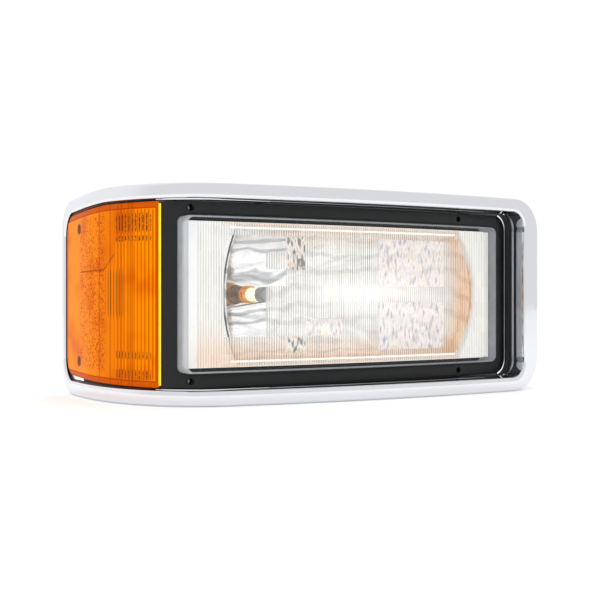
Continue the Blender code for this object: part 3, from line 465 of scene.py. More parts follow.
# Glass-filled polypropylene: duller, with a coarser flow to its grain.
black_polypropylene, tree, shader = start_material("glass_filled_black_polypropylene", "#1d1e1f", 0.55)
add_grain(tree, shader, 1.6, 0.45, 0.65, 0.12, 0.4, 5.0)

# EPDM rubber for the gaskets, the cap and the grommet.
epdm_rubber, tree, shader = start_material("moulded_epdm_rubber", "#161616", 0.78)
add_grain(tree, shader, 1.1, 0.68, 0.88, 0.08, 0.3)

# Zinc plate, passivated: a soft blue-grey metal with cloudy patches.
zinc_plate, tree, shader = start_material("passivated_zinc_plate", "#b4b8bd", 0.32, 1.0)
add_grain(tree, shader, 3.0, 0.24, 0.42, 0.03, 0.25)

# Natural nylon: creamy, waxy and slightly see-through.
nylon, tree, shader = start_material(
    "moulded_natural_nylon", "#ddd8c8", 0.42, 0.0, {"Subsurface Weight": 0.15}
)
add_grain(tree, shader, 1.4, 0.36, 0.5, 0.04, 0.2)

# Pressed brass contacts.
brass, tree, shader = start_material("pressed_brass", "#caa257", 0.3, 1.0)
add_grain(tree, shader, 1.0, 0.22, 0.4, 0.02, 0.3)

# Grey PBT for the twist-lock socket and the bulb's ring.
grey_pbt, tree, shader = start_material("moulded_grey_pbt", "#6c6f71", 0.5)
add_grain(tree, shader, 1.2, 0.42, 0.58, 0.06, 0.3)
print("plain finishes:", [m.name for m in bpy.data.materials if m.users == 0][:12])

# %% [markdown]
# ## Chrome bezel
# The bezel is one pressing: a flat band round the opening, rolled over at its outer edge
# and turned in at the lip, with an inner wall that runs back to the black frame. The wall
# is shallow beside the amber lens and deep at the inboard end, because the frame curves
# away from the band there. A loft does this best: the same outline is laid down many
# times, a little further in or further back, and the outlines are joined with quads.

# %% Bezel loft
BAND, INBOARD_BAND, REAR_BAND = 15.5, 25.8, 12.0
SIGNAL_RECESS = 6.5
BEZEL_ARC, BEZEL_STEPS = 14, 120


def on_bezel(s, z, depth):
    """A place behind the bezel's face. On the front, depth runs straight back."""
    inward = line_inward(s)
    if inward.x < 0:
        inward = Vector((0, 1))
    if z > 0:
        z -= 7.0 * clamp01((s - TAPER_START) / (LENGTH - TAPER_START))
    p = line_place(s) + inward * depth
    return point(p.x, p.y, z)


def recess_at(s):
    """How far back the inner wall runs."""
    x = line_place(s).x
    if x < FRAME_X[0]:
        return SIGNAL_RECESS
    return max(5.0, frame_y(x) - line_place(s).y + 2.0)


half = HEIGHT / 2
outer = chain(0.0, LENGTH, half, 38.0, 34.0, BEZEL_ARC, BEZEL_STEPS)
inner = chain(INBOARD_BAND, LENGTH - REAR_BAND, half - BAND, 18.0, 24.0, BEZEL_ARC, BEZEL_STEPS)


def bezel_row(inset, from_inner, depth_of):
    upper = []
    for (oa, oz), (ia, iz) in zip(outer, inner):
        way = Vector((ia - oa, iz - oz)).normalized()
        place = Vector((ia, iz) if from_inner else (oa, oz)) + way * inset
        upper.append((place.x, place.y, depth_of(ia)))
    lower = [(a, -z, d) for a, z, d in reversed(upper)]
    return [on_bezel(a, z, d) for a, z, d in upper + lower]


rows = [bezel_row(0.0, False, lambda s: 14.0)]
for inset, depth in ((0, 5.2), (0.35, 3.0), (1.3, 1.3), (3.0, 0.35), (5.5, 0.0)):
    rows.append(bezel_row(inset, False, lambda s, d=depth: d))
for inset, depth in ((-3.2, 0.0), (-1.6, 0.25), (-0.5, 1.0), (0.0, 2.4)):
    rows.append(bezel_row(inset, True, lambda s, d=depth: d))
for inset, share in ((0.0, 0.5), (0.35, 0.54), (1.0, 0.57), (1.2, 0.62), (1.2, 1.0)):
    rows.append(bezel_row(inset, True, lambda s, k=share: 2.4 + (recess_at(s) - 2.4) * k))
bezel_mesh = turn_towards(skin(rows), FORWARD)
# The deepest rows of the inner wall beside the signal are drawn in the black ABS finish.
black_rows_from = len(rows) - 6
row_size = len(rows[0])
bezel_mesh.faces.ensure_lookup_table()
for k, f in enumerate(bezel_mesh.faces):
    beside_signal = f.calc_center_median().x < (FRAME_X[0] - 2.0) * MM
    f.material_index = int(k // row_size >= black_rows_from and beside_signal)
bezel = make_piece("chrome_bezel_pressing", bezel_mesh, [chrome_plate, black_abs])
thicken(bezel, 2.4)
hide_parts("chrome_bezel")
print("bezel faces:", len(bezel.data.polygons))

# %% Posts behind the bezel
BEZEL_SCREWS = [(x, z) for x in (-110.0, 165.0) for z in (97.9, -97.9)]
posts = []
for x, z in BEZEL_SCREWS:
    front, back = face_y(x) + 2.0, seat_y(x) + 27.3
    tube = [(2.3, back), (4.2, back), (4.2, front), (2.3, front)]
    posts.append(turned_mesh([tube], point(x, 0, z), "y", 28))
bezel_posts = make_piece("bezel_weld_posts", join_meshes(posts), zinc_plate)

# %% [markdown]
# ## Black frame
# A flat moulding with rounded inboard corners and a window for the lens. Four small pockets
# take the screws that hold it. It is a loft again, and the pockets are cut with a Boolean,
# because a round hole doesn't follow the loft's outlines.

# %% Frame moulding
FRAME_ARC, FRAME_STEPS = 10, 90


def frame_outline(by, r_out, r_in, depth):
    upper = chain(
        FRAME_X[0] + by, FRAME_X[1] - by, FRAME_HALF - by, r_out, r_in, FRAME_ARC, FRAME_STEPS
    )
    return loop_of(upper, lambda x, z: point(x, frame_y(x) + depth, z))


def window_outline(by, radius, depth):
    return front_loop(
        -0.8 + by, LENS_HALF, radius, depth, frame_y, FRAME_ARC, FRAME_STEPS
    )


rows = [
    frame_outline(0.0, 3.0, 17.5, 12.0),
    frame_outline(0.0, 3.0, 17.5, 1.6),
    frame_outline(0.4, 2.8, 17.1, 0.5),
    frame_outline(1.4, 2.4, 16.1, 0.0),
    window_outline(-1.4, 8.2, 0.0),
    window_outline(-0.4, 7.4, 0.5),
    window_outline(0.0, 7.2, 1.6),
    window_outline(0.0, 7.2, 10.0),
]
black_frame = make_piece("lens_frame_moulding", turn_towards(skin(rows), FORWARD), black_abs)
thicken(black_frame, 2.2)
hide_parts("headlamp_frame")


# %% Screw pockets
def cut_with(piece, mesh, name):
    """Cuts a mesh out of a piece, and keeps no cutter."""
    data = bpy.data.meshes.new(name)
    mesh.to_mesh(data)
    mesh.free()
    cutter = bpy.data.objects.new(name, data)
    bpy.context.scene.collection.objects.link(cutter)
    cut = piece.modifiers.new(name, "BOOLEAN")
    cut.object = cutter
    cut.solver = "EXACT"
    bpy.context.view_layer.update()
    graph = bpy.context.evaluated_depsgraph_get()
    result = bpy.data.meshes.new_from_object(piece.evaluated_get(graph))
    piece.modifiers.clear()
    piece.data = result
    piece.data.shade_smooth()
    piece.data.set_sharp_from_angle(angle=math.radians(40))
    bpy.data.objects.remove(cutter)
    return piece


pocket_spots = [(x, sign * z) for x, z in POCKETS for sign in (1, -1)]
hole_profile = rod_profile(3.3, -5, 11, 0.1)
holes = [turned_mesh([hole_profile], point(x, frame_y(x), z), "y", 28) for x, z in pocket_spots]
cut_with(black_frame, join_meshes(holes), "pocket_cutters")
cups = []
for x, z in pocket_spots:
    cup = [(4.3, 0.6), (4.3, 14), (2.1, 14), (2.1, 9.6), (3.3, 9.6), (3.3, 0.6)]
    cups.append(turned_mesh([cup], point(x, frame_y(x), z), "y", 28))
pocket_cups = make_piece("screw_pocket_cups", join_meshes(cups), black_abs)


# %% [markdown]
# ## Headlamp lens
# The lens is moulded in clear polycarbonate. Its outside is smooth and its edge is rounded.
# Its inside carries the optics: upright flutes under three millimetres wide that spread
# the beam sideways, in rows and columns of blocks, some of them clear, some with pillow
# prisms. The shell and the optics are two meshes here, because they need different
# shaders: the shell is a clear pane that mirrors the room at a slant, and the fluted
# layer catches the lamp's own light on each crest.

# %% Clear shell
clear_pc, tree, shader = start_material("moulded_clear_polycarbonate", "#ffffff", 0.03)
shader.inputs["IOR"].default_value = 1.58
see = add_node(tree, "ShaderNodeBsdfTransparent", {"Color": linear("#f6f8f8")})
edge_on = add_node(tree, "ShaderNodeFresnel", {"IOR": 1.38})
shine = add_node(tree, "ShaderNodeBsdfGlossy", {"Roughness": 0.02})
mix = add_node(
    tree, "ShaderNodeMixShader", {}, {0: edge_on.outputs[0], 1: see.outputs[0], 2: shine.outputs[0]}
)
tree.links.new(mix.outputs[0], tree.nodes["Material Output"].inputs["Surface"])

# The rim of the moulding is seen along its depth, so it is drawn greyer and less clear: its grey colour and
# its grey glow are painted light and shade.
lens_rim_painted_grey, tree, shader = start_material("moulded_polycarbonate_edge", "#9a9da0", 0.12)
where = add_node(tree, "ShaderNodeTexCoord")
flow = add_node(
    tree, "ShaderNodeTexNoise", {"Scale": 60.0, "Detail": 2.0}, {"Vector": where.outputs["Object"]}
)
cloud = add_node(tree, "ShaderNodeMapRange", {"To Min": 0.6, "To Max": 0.95}, {"Value": flow.outputs[0]})
# Painted light: a soft grey glow on the rim.
shader.inputs["Emission Color"].default_value = linear("#b9bcc0")
shader.inputs["Emission Strength"].default_value = 0.3
see = add_node(tree, "ShaderNodeBsdfTransparent", {"Color": linear("#e9ecee")})
mix = add_node(
    tree, "ShaderNodeMixShader", {}, {0: cloud.outputs[0], 1: see.outputs[0], 2: shader.outputs[0]}
)
tree.links.new(mix.outputs[0], tree.nodes["Material Output"].inputs["Surface"])

edge_rows = [
    (0.0, 22.0 + LENS_PROUD), (0.0, 8.0), (0.25, 5.6), (1.0, 3.4), (2.2, 1.7), (3.8, 0.5), (5.6, 0.0)
]
rows = [front_loop(by, LENS_HALF, 6.8 - by * 0.7, depth, lens_y, 8, 60) for by, depth in edge_rows]
rim_mesh = turn_towards(skin(rows[:5]), FORWARD)
face_mesh = turn_towards(skin(rows[4:], cap_last=True), FORWARD)
lens_sides = make_piece("lens_side_wall", rim_mesh, lens_rim_painted_grey)
lens_face = make_piece("lens_clear_face", face_mesh, clear_pc)
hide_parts("headlamp_lens")

# %% [markdown]
# The optic blocks sit on a grid, 22.75 mm wide and 16.7 mm high. Three small functions say
# what a block is, how far the lamp's glow tints it and how bright it is, and the mesh keeps
# those numbers on its points for the shader to read.

# %% Optic blocks
FLUTE = 2.75
COLUMN, COLUMN_START = 22.75, -157.0
ROW, ROW_START = 16.72, -75.2
CLEAR = {(c, r) for c in (0, 1) for r in range(2, 8)} | {(2, 7), (2, 5)}
PILLOW = {(c, r) for c in (8, 9, 10, 11) for r in (1, 2, 3, 5, 6, 7)} | {(4, 2), (5, 2)}
BOLD = {(3, 7), (3, 6), (3, 1)}


def block_of(x, z):
    return math.floor((x - COLUMN_START) / COLUMN), math.floor((z - ROW_START) / ROW)


def blob(x, z, cx, cz, wx, wz):
    return math.exp(-(((x - cx) / wx) ** 2) - ((z - cz) / wz) ** 2)


def glow_at(x, z):
    """How much of the lit filament's light a place on the optics sends forward."""
    beam = 0.95 * blob(x, z, -10, 2, 58, 13) + 0.45 * blob(x, z, 62, 3, 60, 8)
    low_beam = 0.4 * blob(x, z, 5, -17, 30, 7)
    spread = 0.2 * blob(x, z, 20, 0, 110, 45)
    return clamp01(beam + low_beam + spread)


def mouth_at(x, z):
    """One in front of the reflector's mouth and nothing ahead of the trim's wings."""
    middle = FLUTE * (math.floor((x - COLUMN_START) / FLUTE) + 0.5) + COLUMN_START
    right = 159.5 - 25.0 * (z / 65) ** 2
    left = -163.5 + 12.0 * (z / 62) ** 2
    return 1.0 if left < middle < right and abs(z) < 66 else 0.0


def warmth_at(x, z):
    """How far the orange end of the light shows."""
    inside = mouth_at(x, z)
    inboard = 1.2 * inside * smooth((x - 105) / 55) * (1 - 0.25 * z / 70)
    below = 0.7 * smooth((-z - 34) / 30) * inside
    wing = 0.6 * smooth((-z - 20) / 50) * smooth((x + 200) / 15) * (1.0 if x < -140 else 0.0) * (1 - inside)
    above = 0.4 * smooth((z - 40) / 25) * smooth((x + 130) / 40) * inside
    border = 0.7 * smooth((abs(z) - 66.5) / 1.5) * (1.0 if -160 < x < 140 else 0.0)
    return clamp01(inboard + below + wing + above + border - 0.7 * glow_at(x, z))


def optic_rows():
    """Heights of the optic mesh's rows, closer together at the lip lines that carry a painted highlight."""
    edges = [ROW_START + ROW * k for k in range(10)]
    heights = []
    for k in range(9):
        heights += [edges[k] + 0.15, edges[k] + ROW / 3, edges[k] + 2 * ROW / 3, edges[k + 1] - 0.15]
    lips = [sign * z for sign in (-1, 1) for z in (64.4, 64.9, 66.3, 66.8, 70.5)]
    heights = [z for z in heights if not 63.0 < abs(z)]
    return sorted(heights + lips)


def optic_mesh(name):
    """A grid with a real relief: six points across each flute."""
    per_flute = 6
    count = int(372 / FLUTE * per_flute)
    xs = [-186.0 + 372.0 * i / count for i in range(count + 1)]
    mesh = bmesh.new()
    kinds = ("cover", "warm", "glow", "hollow_shade_weight", "pillow", "bold")
    layers = {k: mesh.verts.layers.float.new(k) for k in kinds}
    grid = []
    for z in optic_rows():
        row = []
        for x in xs:
            block = block_of(x, z)
            u = ((x - COLUMN_START) / FLUTE) % 1.0
            crest = 0.5 * (1 - (2 * u - 1) ** 2)
            inside = mouth_at(x, z)
            glow = glow_at(x, z)
            # The weight set here says how much painted shade falls in the flute hollows of each kind of
            # block.
            cover, hollow_shade_weight = 0.72, 1.0
            if block in CLEAR:
                crest, cover, hollow_shade_weight = 0.0, 0.1, 0.0
            elif block in PILLOW:
                crest, cover, hollow_shade_weight = 0.0, 0.82, 0.12
            elif block in BOLD:
                crest, cover, hollow_shade_weight = 0.0, 0.88, 0.0
            if inside < 0.5:
                cover, hollow_shade_weight = 0.8, 0.6
            # A thin line at each lip is a painted highlight: full cover and full glow, with no warmth, shade
            # or patches.
            lip_highlight = 1.0 if 64.8 < abs(z) < 66.4 and -150 < x < 134 else 0.0
            v = mesh.verts.new(point(x, lens_y(x) + 3.9 - crest, z))
            v[layers["cover"]] = clamp01(cover + 0.25 * glow + lip_highlight)
            v[layers["warm"]] = warmth_at(x, z) * (1 - lip_highlight)
            v[layers["glow"]] = clamp01(glow + lip_highlight)
            v[layers["hollow_shade_weight"]] = hollow_shade_weight * (1 - 0.45 * glow) * (1 - lip_highlight)
            v[layers["pillow"]] = float(block in PILLOW) * (1 - lip_highlight)
            v[layers["bold"]] = float(block in BOLD) * (1 - lip_highlight)
            row.append(v)
        grid.append(row)
    for one, two in zip(grid, grid[1:]):
        for i in range(count):
            mesh.faces.new((one[i], one[i + 1], two[i + 1], two[i]))
    return turn_towards(mesh, FORWARD)


# %% Fluted optic finish
fluted_pc, tree, shader = start_material("fluted_polycarbonate_optics", "#ffffff", 0.25)
where = add_node(tree, "ShaderNodeTexCoord")
split = add_node(tree, "ShaderNodeSeparateXYZ", {}, {0: where.outputs["Object"]})
cover = add_node(tree, "ShaderNodeAttribute", {"attribute_name": "cover"})
warm = add_node(tree, "ShaderNodeAttribute", {"attribute_name": "warm"})
glow = add_node(tree, "ShaderNodeAttribute", {"attribute_name": "glow"})
hollow_shade_weight = add_node(tree, "ShaderNodeAttribute", {"attribute_name": "hollow_shade_weight"})
pillow = add_node(tree, "ShaderNodeAttribute", {"attribute_name": "pillow"})
bold = add_node(tree, "ShaderNodeAttribute", {"attribute_name": "bold"})
# One flute is FLUTE wide. The painted shade in its hollow is a fifth of that, and the rest of the flute takes
# a painted lit tint.
flute_count = add_node(
    tree, "ShaderNodeMath",
    {"operation": "MULTIPLY_ADD", 1: 1 / (FLUTE * MM), 2: -COLUMN_START / FLUTE + 200},
    {0: split.outputs["X"]},
)
across = add_node(tree, "ShaderNodeMath", {"operation": "FRACT"}, {0: flute_count.outputs[0]})
from_middle = add_node(tree, "ShaderNodeMath", {"operation": "SUBTRACT", 1: 0.5}, {0: across.outputs[0]})
away = add_node(tree, "ShaderNodeMath", {"operation": "ABSOLUTE"}, {0: from_middle.outputs[0]})
flute_hollow_shade = add_node(
    tree, "ShaderNodeMapRange", {"interpolation_type": "SMOOTHSTEP", "From Min": 0.16, "From Max": 0.42},
    {"Value": away.outputs[0]},
)
which = add_node(tree, "ShaderNodeMath", {"operation": "FLOOR"}, {0: flute_count.outputs[0]})
row_count = add_node(
    tree, "ShaderNodeMath",
    {"operation": "MULTIPLY_ADD", 1: 1 / (ROW * MM), 2: -ROW_START / ROW - HEIGHT / 2 / ROW},
    {0: split.outputs["Z"]},
)
which_row = add_node(tree, "ShaderNodeMath", {"operation": "FLOOR"}, {0: row_count.outputs[0]})
address = add_node(
    tree, "ShaderNodeCombineXYZ", {}, {0: which.outputs[0], 1: which_row.outputs[0]}
)
each = add_node(tree, "ShaderNodeTexWhiteNoise", {"noise_dimensions": "2D"}, {"Vector": address.outputs[0]})
print("optic shader nodes:", len(tree.nodes))

# %% Colour and light of the optics
# Painted shade in the flute hollows, of a strength that differs at random from flute to flute and row to row.
# The crests take a painted lit tint.
flute_shade_strength = add_node(tree, "ShaderNodeMapRange", {"To Min": 0.45, "To Max": 1.0}, {"Value": each.outputs[0]})
flute_shade = add_node(
    tree, "ShaderNodeMath", {"operation": "MULTIPLY"}, {0: flute_hollow_shade.outputs[0], 1: flute_shade_strength.outputs[0]}
)
flute_shade = add_node(
    tree, "ShaderNodeMath", {"operation": "MULTIPLY"}, {0: flute_shade.outputs[0], 1: hollow_shade_weight.outputs["Fac"]}
)
crest_lit_tint = add_node(
    tree, "ShaderNodeMix", {"data_type": "RGBA", 6: linear("#fdfaf6"), 7: linear("#ffd3a6")},
    {0: warm.outputs["Fac"]},
)
hollow_shade_tint = add_node(
    tree, "ShaderNodeMix", {"data_type": "RGBA", 6: linear("#aaa09a"), 7: linear("#b87a4c")},
    {0: warm.outputs["Fac"]},
)
flute_light_and_shade_tint = add_node(
    tree, "ShaderNodeMix", {"data_type": "RGBA"},
    {0: flute_shade.outputs[0], 6: crest_lit_tint.outputs[2], 7: hollow_shade_tint.outputs[2]},
)
# Prism blocks break the light into slanted patches a few millimetres long.
slant = add_node(
    tree, "ShaderNodeMapping", {"Rotation": (0.0, 0.45, 0.0), "Scale": (1.0, 1.0, 0.35)},
    {"Vector": where.outputs["Object"]},
)
patches = add_node(
    tree, "ShaderNodeTexNoise", {"Scale": 330.0, "Detail": 1.5, "Roughness": 0.4},
    {"Vector": slant.outputs[0]},
)
patch_tint = add_node(tree, "ShaderNodeValToRGB", {}, {0: patches.outputs[0]})
stops = patch_tint.color_ramp.elements
stops[0].position, stops[0].color = 0.3, linear("#c0bcc0")
stops[1].position, stops[1].color = 0.76, linear("#f3d3ad")
for position, colour in ((0.4, "#e2dcde"), (0.48, "#f6e9e6"), (0.58, "#fdfbfa")):
    stops.new(position).color = linear(colour)
bold_tint = add_node(tree, "ShaderNodeValToRGB", {}, {0: patches.outputs[0]})
stops = bold_tint.color_ramp.elements
stops[0].position, stops[0].color = 0.36, linear("#857a6c")
stops[1].position, stops[1].color = 0.68, linear("#e6bd83")
stops.new(0.5).color = linear("#fafafa")
tinted = add_node(
    tree, "ShaderNodeMix", {"data_type": "RGBA"},
    {0: pillow.outputs["Fac"], 6: flute_light_and_shade_tint.outputs[2], 7: patch_tint.outputs[0]},
)
tinted = add_node(
    tree, "ShaderNodeMix", {"data_type": "RGBA"},
    {0: bold.outputs["Fac"], 6: tinted.outputs[2], 7: bold_tint.outputs[0]},
)
tree.links.new(tinted.outputs[2], shader.inputs["Base Color"])
tree.links.new(tinted.outputs[2], shader.inputs["Emission Color"])
lit = add_node(
    tree, "ShaderNodeMapRange", {"To Min": 0.34, "To Max": 0.5}, {"Value": glow.outputs["Fac"]}
)
tree.links.new(lit.outputs[0], shader.inputs["Emission Strength"])
see = add_node(tree, "ShaderNodeBsdfTransparent", {"Color": linear("#ffffff")})
mix = add_node(
    tree, "ShaderNodeMixShader", {}, {0: cover.outputs["Fac"], 1: see.outputs[0], 2: shader.outputs[0]}
)
tree.links.new(mix.outputs[0], tree.nodes["Material Output"].inputs["Surface"])
optics = make_piece("lens_flutes_and_blocks", optic_mesh("optics"), fluted_pc, sharp=80)
print("optic points:", len(optics.data.vertices))


# %% [markdown]
# ## Reflector and its bright surround
# The reflector is a moulded bowl, vacuum-metallised with aluminium. It is long and shallow:
# the bulb stands at its outboard focus, so most of the light that leaves the lens has come
# off the inboard half. The white trim fills the gap between bowl and lens.

# %% Lit metal with painted reflections, and white trim with a painted glow
def add_lit_glow(tree, shader, centre, reach, colour, strength):
    """Emission that fades out from a place, for a surface that the filament floods."""
    where = add_node(tree, "ShaderNodeTexCoord")
    shift = add_node(
        tree, "ShaderNodeVectorMath", {"operation": "SUBTRACT", 1: tuple(point(*centre))},
        {0: where.outputs["Object"]},
    )
    scale = add_node(
        tree, "ShaderNodeVectorMath", {"operation": "DIVIDE", 1: tuple(r * MM for r in reach)},
        {0: shift.outputs[0]},
    )
    far = add_node(tree, "ShaderNodeVectorMath", {"operation": "LENGTH"}, {0: scale.outputs[0]})
    fade = add_node(
        tree, "ShaderNodeMapRange",
        {"interpolation_type": "SMOOTHSTEP", "To Min": strength, "To Max": 0.0},
        {"Value": far.outputs["Value"]},
    )
    shader.inputs["Emission Color"].default_value = linear(colour)
    tree.links.new(fade.outputs[0], shader.inputs["Emission Strength"])


metallised, tree, shader = start_material("vacuum_metallised_aluminium", "#f0f0f1", 0.14, 1.0)
add_grain(tree, shader, 9.0, 0.1, 0.2, 0.5, 0.45, 2.0)
add_lit_glow(tree, shader, (10.0, -25.0, 2.0), (210.0, 160.0, 90.0), "#fff6ec", 0.62)
# Painted reflections: grey rings from a warped wave, laid into both the colour and the glow of the bowl.
reflection_swirl = add_node(
    tree, "ShaderNodeTexWave", {"Scale": 16.0, "Distortion": 7.0, "Detail": 2.0, "wave_type": "RINGS"}
)
reflection_swirl_place = add_node(tree, "ShaderNodeTexCoord")
tree.links.new(reflection_swirl_place.outputs["Object"], reflection_swirl.inputs["Vector"])
painted_reflection_tint = add_node(tree, "ShaderNodeValToRGB", {}, {0: reflection_swirl.outputs["Fac"]})
stops = painted_reflection_tint.color_ramp.elements
stops[0].position, stops[0].color = 0.1, linear("#b9bcc0")
stops[1].position, stops[1].color = 0.38, linear("#fbfbfb")
tree.links.new(painted_reflection_tint.outputs[0], shader.inputs["Base Color"])
tree.links.new(painted_reflection_tint.outputs[0], shader.inputs["Emission Color"])
lacquered_white, tree, shader = start_material("lacquered_white_trim_painted_glow", "#f2f3f4", 0.3)
add_grain(tree, shader, 1.5, 0.24, 0.36, 0.02, 0.2)
# Painted light: the trim glows white, for the lamp's light that falls on it.
shader.inputs["Emission Color"].default_value = linear("#ffffff")
shader.inputs["Emission Strength"].default_value = 0.35
print("lit finishes:", metallised.name, lacquered_white.name)

# %% Rim outline
RIM_DEPTH, RIM_HALF = 18.0, 65.0
RIM_OUTBOARD, RIM_INBOARD = (-143.0, 169.0), (178.0, 112.0)


def rim_chain(grow, arc_steps=22, run_steps=60):
    """Upper half of the reflector's rim: flat above, bowed at both ends."""
    half = RIM_HALF + grow
    left, left_r = RIM_OUTBOARD[0] - grow, RIM_OUTBOARD[1]
    right, right_r = RIM_INBOARD[0] + grow, RIM_INBOARD[1]

    def left_at(z):
        return left + left_r - math.sqrt(left_r**2 - z * z)

    def right_at(z):
        return right - right_r + math.sqrt(right_r**2 - z * z)

    heights = [half * (0.02 + 0.98 * i / arc_steps) for i in range(arc_steps + 1)]
    points = [(left_at(z), z) for z in heights]
    start, end = left_at(half), right_at(half)
    points += [(start + (end - start) * i / run_steps, half) for i in range(1, run_steps)]
    points += [(right_at(z), z) for z in reversed(heights)]
    return points


print("rim points:", 2 * len(rim_chain(0)))

# %% Reflector bowl
BOWL_STEPS = 30


def bowl_row(t, grow=0.0):
    """A ring of the bowl: the neck's circle at t = 0, the rim at t = 1."""
    upper = rim_chain(grow)
    row = []
    for x, z in upper + [(x, -z) for x, z in reversed(upper)]:
        bearing = math.atan2(z, x - BULB_X)
        near = (BULB_X + NECK_R * math.cos(bearing), NECK_R * math.sin(bearing))
        rim_y = seat_y(x) + RIM_DEPTH
        y = NECK_Y - (NECK_Y - rim_y) * t * t
        row.append(point(near[0] + (x - near[0]) * t, y, near[1] + (z - near[1]) * t))
    return row


bowl_mesh = turn_towards(skin([bowl_row(1 - i / BOWL_STEPS) for i in range(BOWL_STEPS + 1)]), FORWARD)
bowl = make_piece("reflector_bowl", bowl_mesh, metallised, "reflector_body", sharp=60)
thicken(bowl, 2.1)
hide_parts("reflector")
collar = [(13.1, 0.8), (18.2, 0.8), (18.6, 1.2), (18.6, 7.4), (18.2, 7.8), (13.1, 7.8)]
neck = turned_mesh([collar], point(BULB_X, NECK_Y, 0), "y", 56)
neck_collar = make_piece("reflector_neck_collar", neck, metallised, "reflector_body")
print("bowl faces:", len(bowl.data.polygons))

# %% Inner trim
TRIM_X, TRIM_HALF = (LENS_X[0] + 4.2, LENS_X[1] - 4.6), LENS_HALF - 4.2


def trim_outer(by, depth):
    upper = chain(TRIM_X[0] + by, TRIM_X[1] - by, TRIM_HALF - by, 4.0, 4.0, 22, 60)
    return loop_of(upper, lambda x, z: point(x, seat_y(x) + depth, z))


def trim_inner(grow, depth):
    return loop_of(rim_chain(grow), lambda x, z: point(x, seat_y(x) + depth, z))


trim_rows = [
    trim_outer(0.4, 9.0), trim_outer(1.6, 9.2), trim_inner(7.2, 13.0), trim_inner(6.0, 13.6),
    trim_inner(5.6, 14.4), trim_inner(5.6, 16.6), trim_inner(6.4, 17.0), trim_outer(0.4, 12.5),
]
trim = make_piece("white_inner_trim", skin(trim_rows, close=True), lacquered_white)
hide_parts("inner_trim")

# %% [markdown]
# ## Halogen bulb
# A quartz capsule stands in a collared base, with a dipped cap ahead of it that stops
# direct glare. The base is nickel-plated and heat-browned, which is why it shows dark and
# golden inside a bright reflector. These are lathe shapes, so each is one turned outline.

# %% Bulb finishes
heat_browned, tree, shader = start_material("heat_browned_nickel", "#6b4a38", 0.3, 1.0)
where, noise = add_grain(tree, shader, 5.0, 0.2, 0.45, 0.04, 0.3)
burn = add_node(
    tree, "ShaderNodeMix", {"data_type": "RGBA", 6: linear("#4a3029"), 7: linear("#b5813c")},
    {0: noise.outputs[0]},
)
tree.links.new(burn.outputs[2], shader.inputs["Base Color"])
gold_nickel, tree, shader = start_material("gold_flashed_nickel_painted_glow", "#d59a35", 0.25, 1.0)
add_grain(tree, shader, 3.0, 0.18, 0.34, 0.03, 0.2)
# Painted light: the gold rings and bands glow orange, as a highlight from the lamp.
shader.inputs["Emission Color"].default_value = linear("#e59a20")
shader.inputs["Emission Strength"].default_value = 0.25

quartz, tree, shader = start_material("fused_quartz_capsule", "#ffffff", 0.02)
see = add_node(tree, "ShaderNodeBsdfTransparent", {"Color": linear("#fffaf2")})
lit_quartz = add_node(tree, "ShaderNodeEmission", {"Color": linear("#fff0d8"), "Strength": 1.6})
haze = add_node(tree, "ShaderNodeTexNoise", {"Scale": 260.0, "Detail": 1.0})
haze_amount = add_node(
    tree, "ShaderNodeMapRange", {"To Min": 0.25, "To Max": 0.5}, {"Value": haze.outputs[0]}
)
mix = add_node(
    tree, "ShaderNodeMixShader", {}, {0: haze_amount.outputs[0], 1: see.outputs[0], 2: lit_quartz.outputs[0]}
)
tree.links.new(mix.outputs[0], tree.nodes["Material Output"].inputs["Surface"])

hot_tungsten, tree, shader = start_material("incandescent_tungsten", "#ffd9a0", 0.4, 1.0)
heat = add_node(tree, "ShaderNodeTexNoise", {"Scale": 900.0})
heat_span = add_node(tree, "ShaderNodeMapRange", {"To Min": 6.0, "To Max": 10.0}, {"Value": heat.outputs[0]})
shader.inputs["Emission Color"].default_value = linear("#ffd28a")
tree.links.new(heat_span.outputs[0], shader.inputs["Emission Strength"])
print("bulb finishes:", heat_browned.name, quartz.name)

# %% Bulb base, capsule and shield
SEAT = point(BULB_X, NECK_Y, 0)
block = [(0, 30), (9.3, 30), (10.8, 28.6), (11.0, 27.6), (11.0, 12.6), (17.1, 12.3), (17.5, 11.8),
         (17.5, 8.6), (17.1, 8.2), (10.8, 8.0), (10.8, -6.0), (10.1, -6.8), (10.1, -10.0), (10.8, -10.8),
         (10.8, -19.6), (10.2, -21.0), (9.0, -22.4), (9.0, -29.8), (8.4, -30.4), (0, -30.4)]
base = make_piece("bulb_collared_base", turned_mesh([block], SEAT, "y", 56), heat_browned, "reflector_body")
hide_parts("bulb_base")
sleeve = [(7.7, 19.0), (8.9, 19.0), (9.2, 18.6), (9.2, 6.6), (8.9, 6.2), (7.7, 6.2)]
sleeve = [(r, h - NECK_Y) for r, h in sleeve]
sleeve_mesh = turned_mesh([sleeve], SEAT, "y", 56)
sleeve_piece = make_piece("bulb_heat_sleeve", sleeve_mesh, heat_browned, "reflector_body")
rings = [[(7.7, low), (outer_r, low), (outer_r, high), (7.7, high)]
         for low, high, outer_r in ((5.6, 3.4, 9.4), (2.6, -1.4, 8.6), (-2.4, -4.2, 9.4), (-6.0, -8.4, 8.8))]
rings = [[(r, h - NECK_Y) for r, h in ring] for ring in rings]
ring_piece = make_piece("bulb_gold_rings", turned_mesh(rings, SEAT, "y", 56), gold_nickel, "reflector_body")
bands = []
for near, far in ((-1.0, -4.0), (-12.0, -14.0)):
    bands.append([(10.9, near), (11.25, near - 0.3), (11.25, far + 0.3), (10.9, far)])
band_piece = make_piece(
    "bulb_gold_bands", turned_mesh(bands, SEAT, "y", 56), gold_nickel, "reflector_body"
)
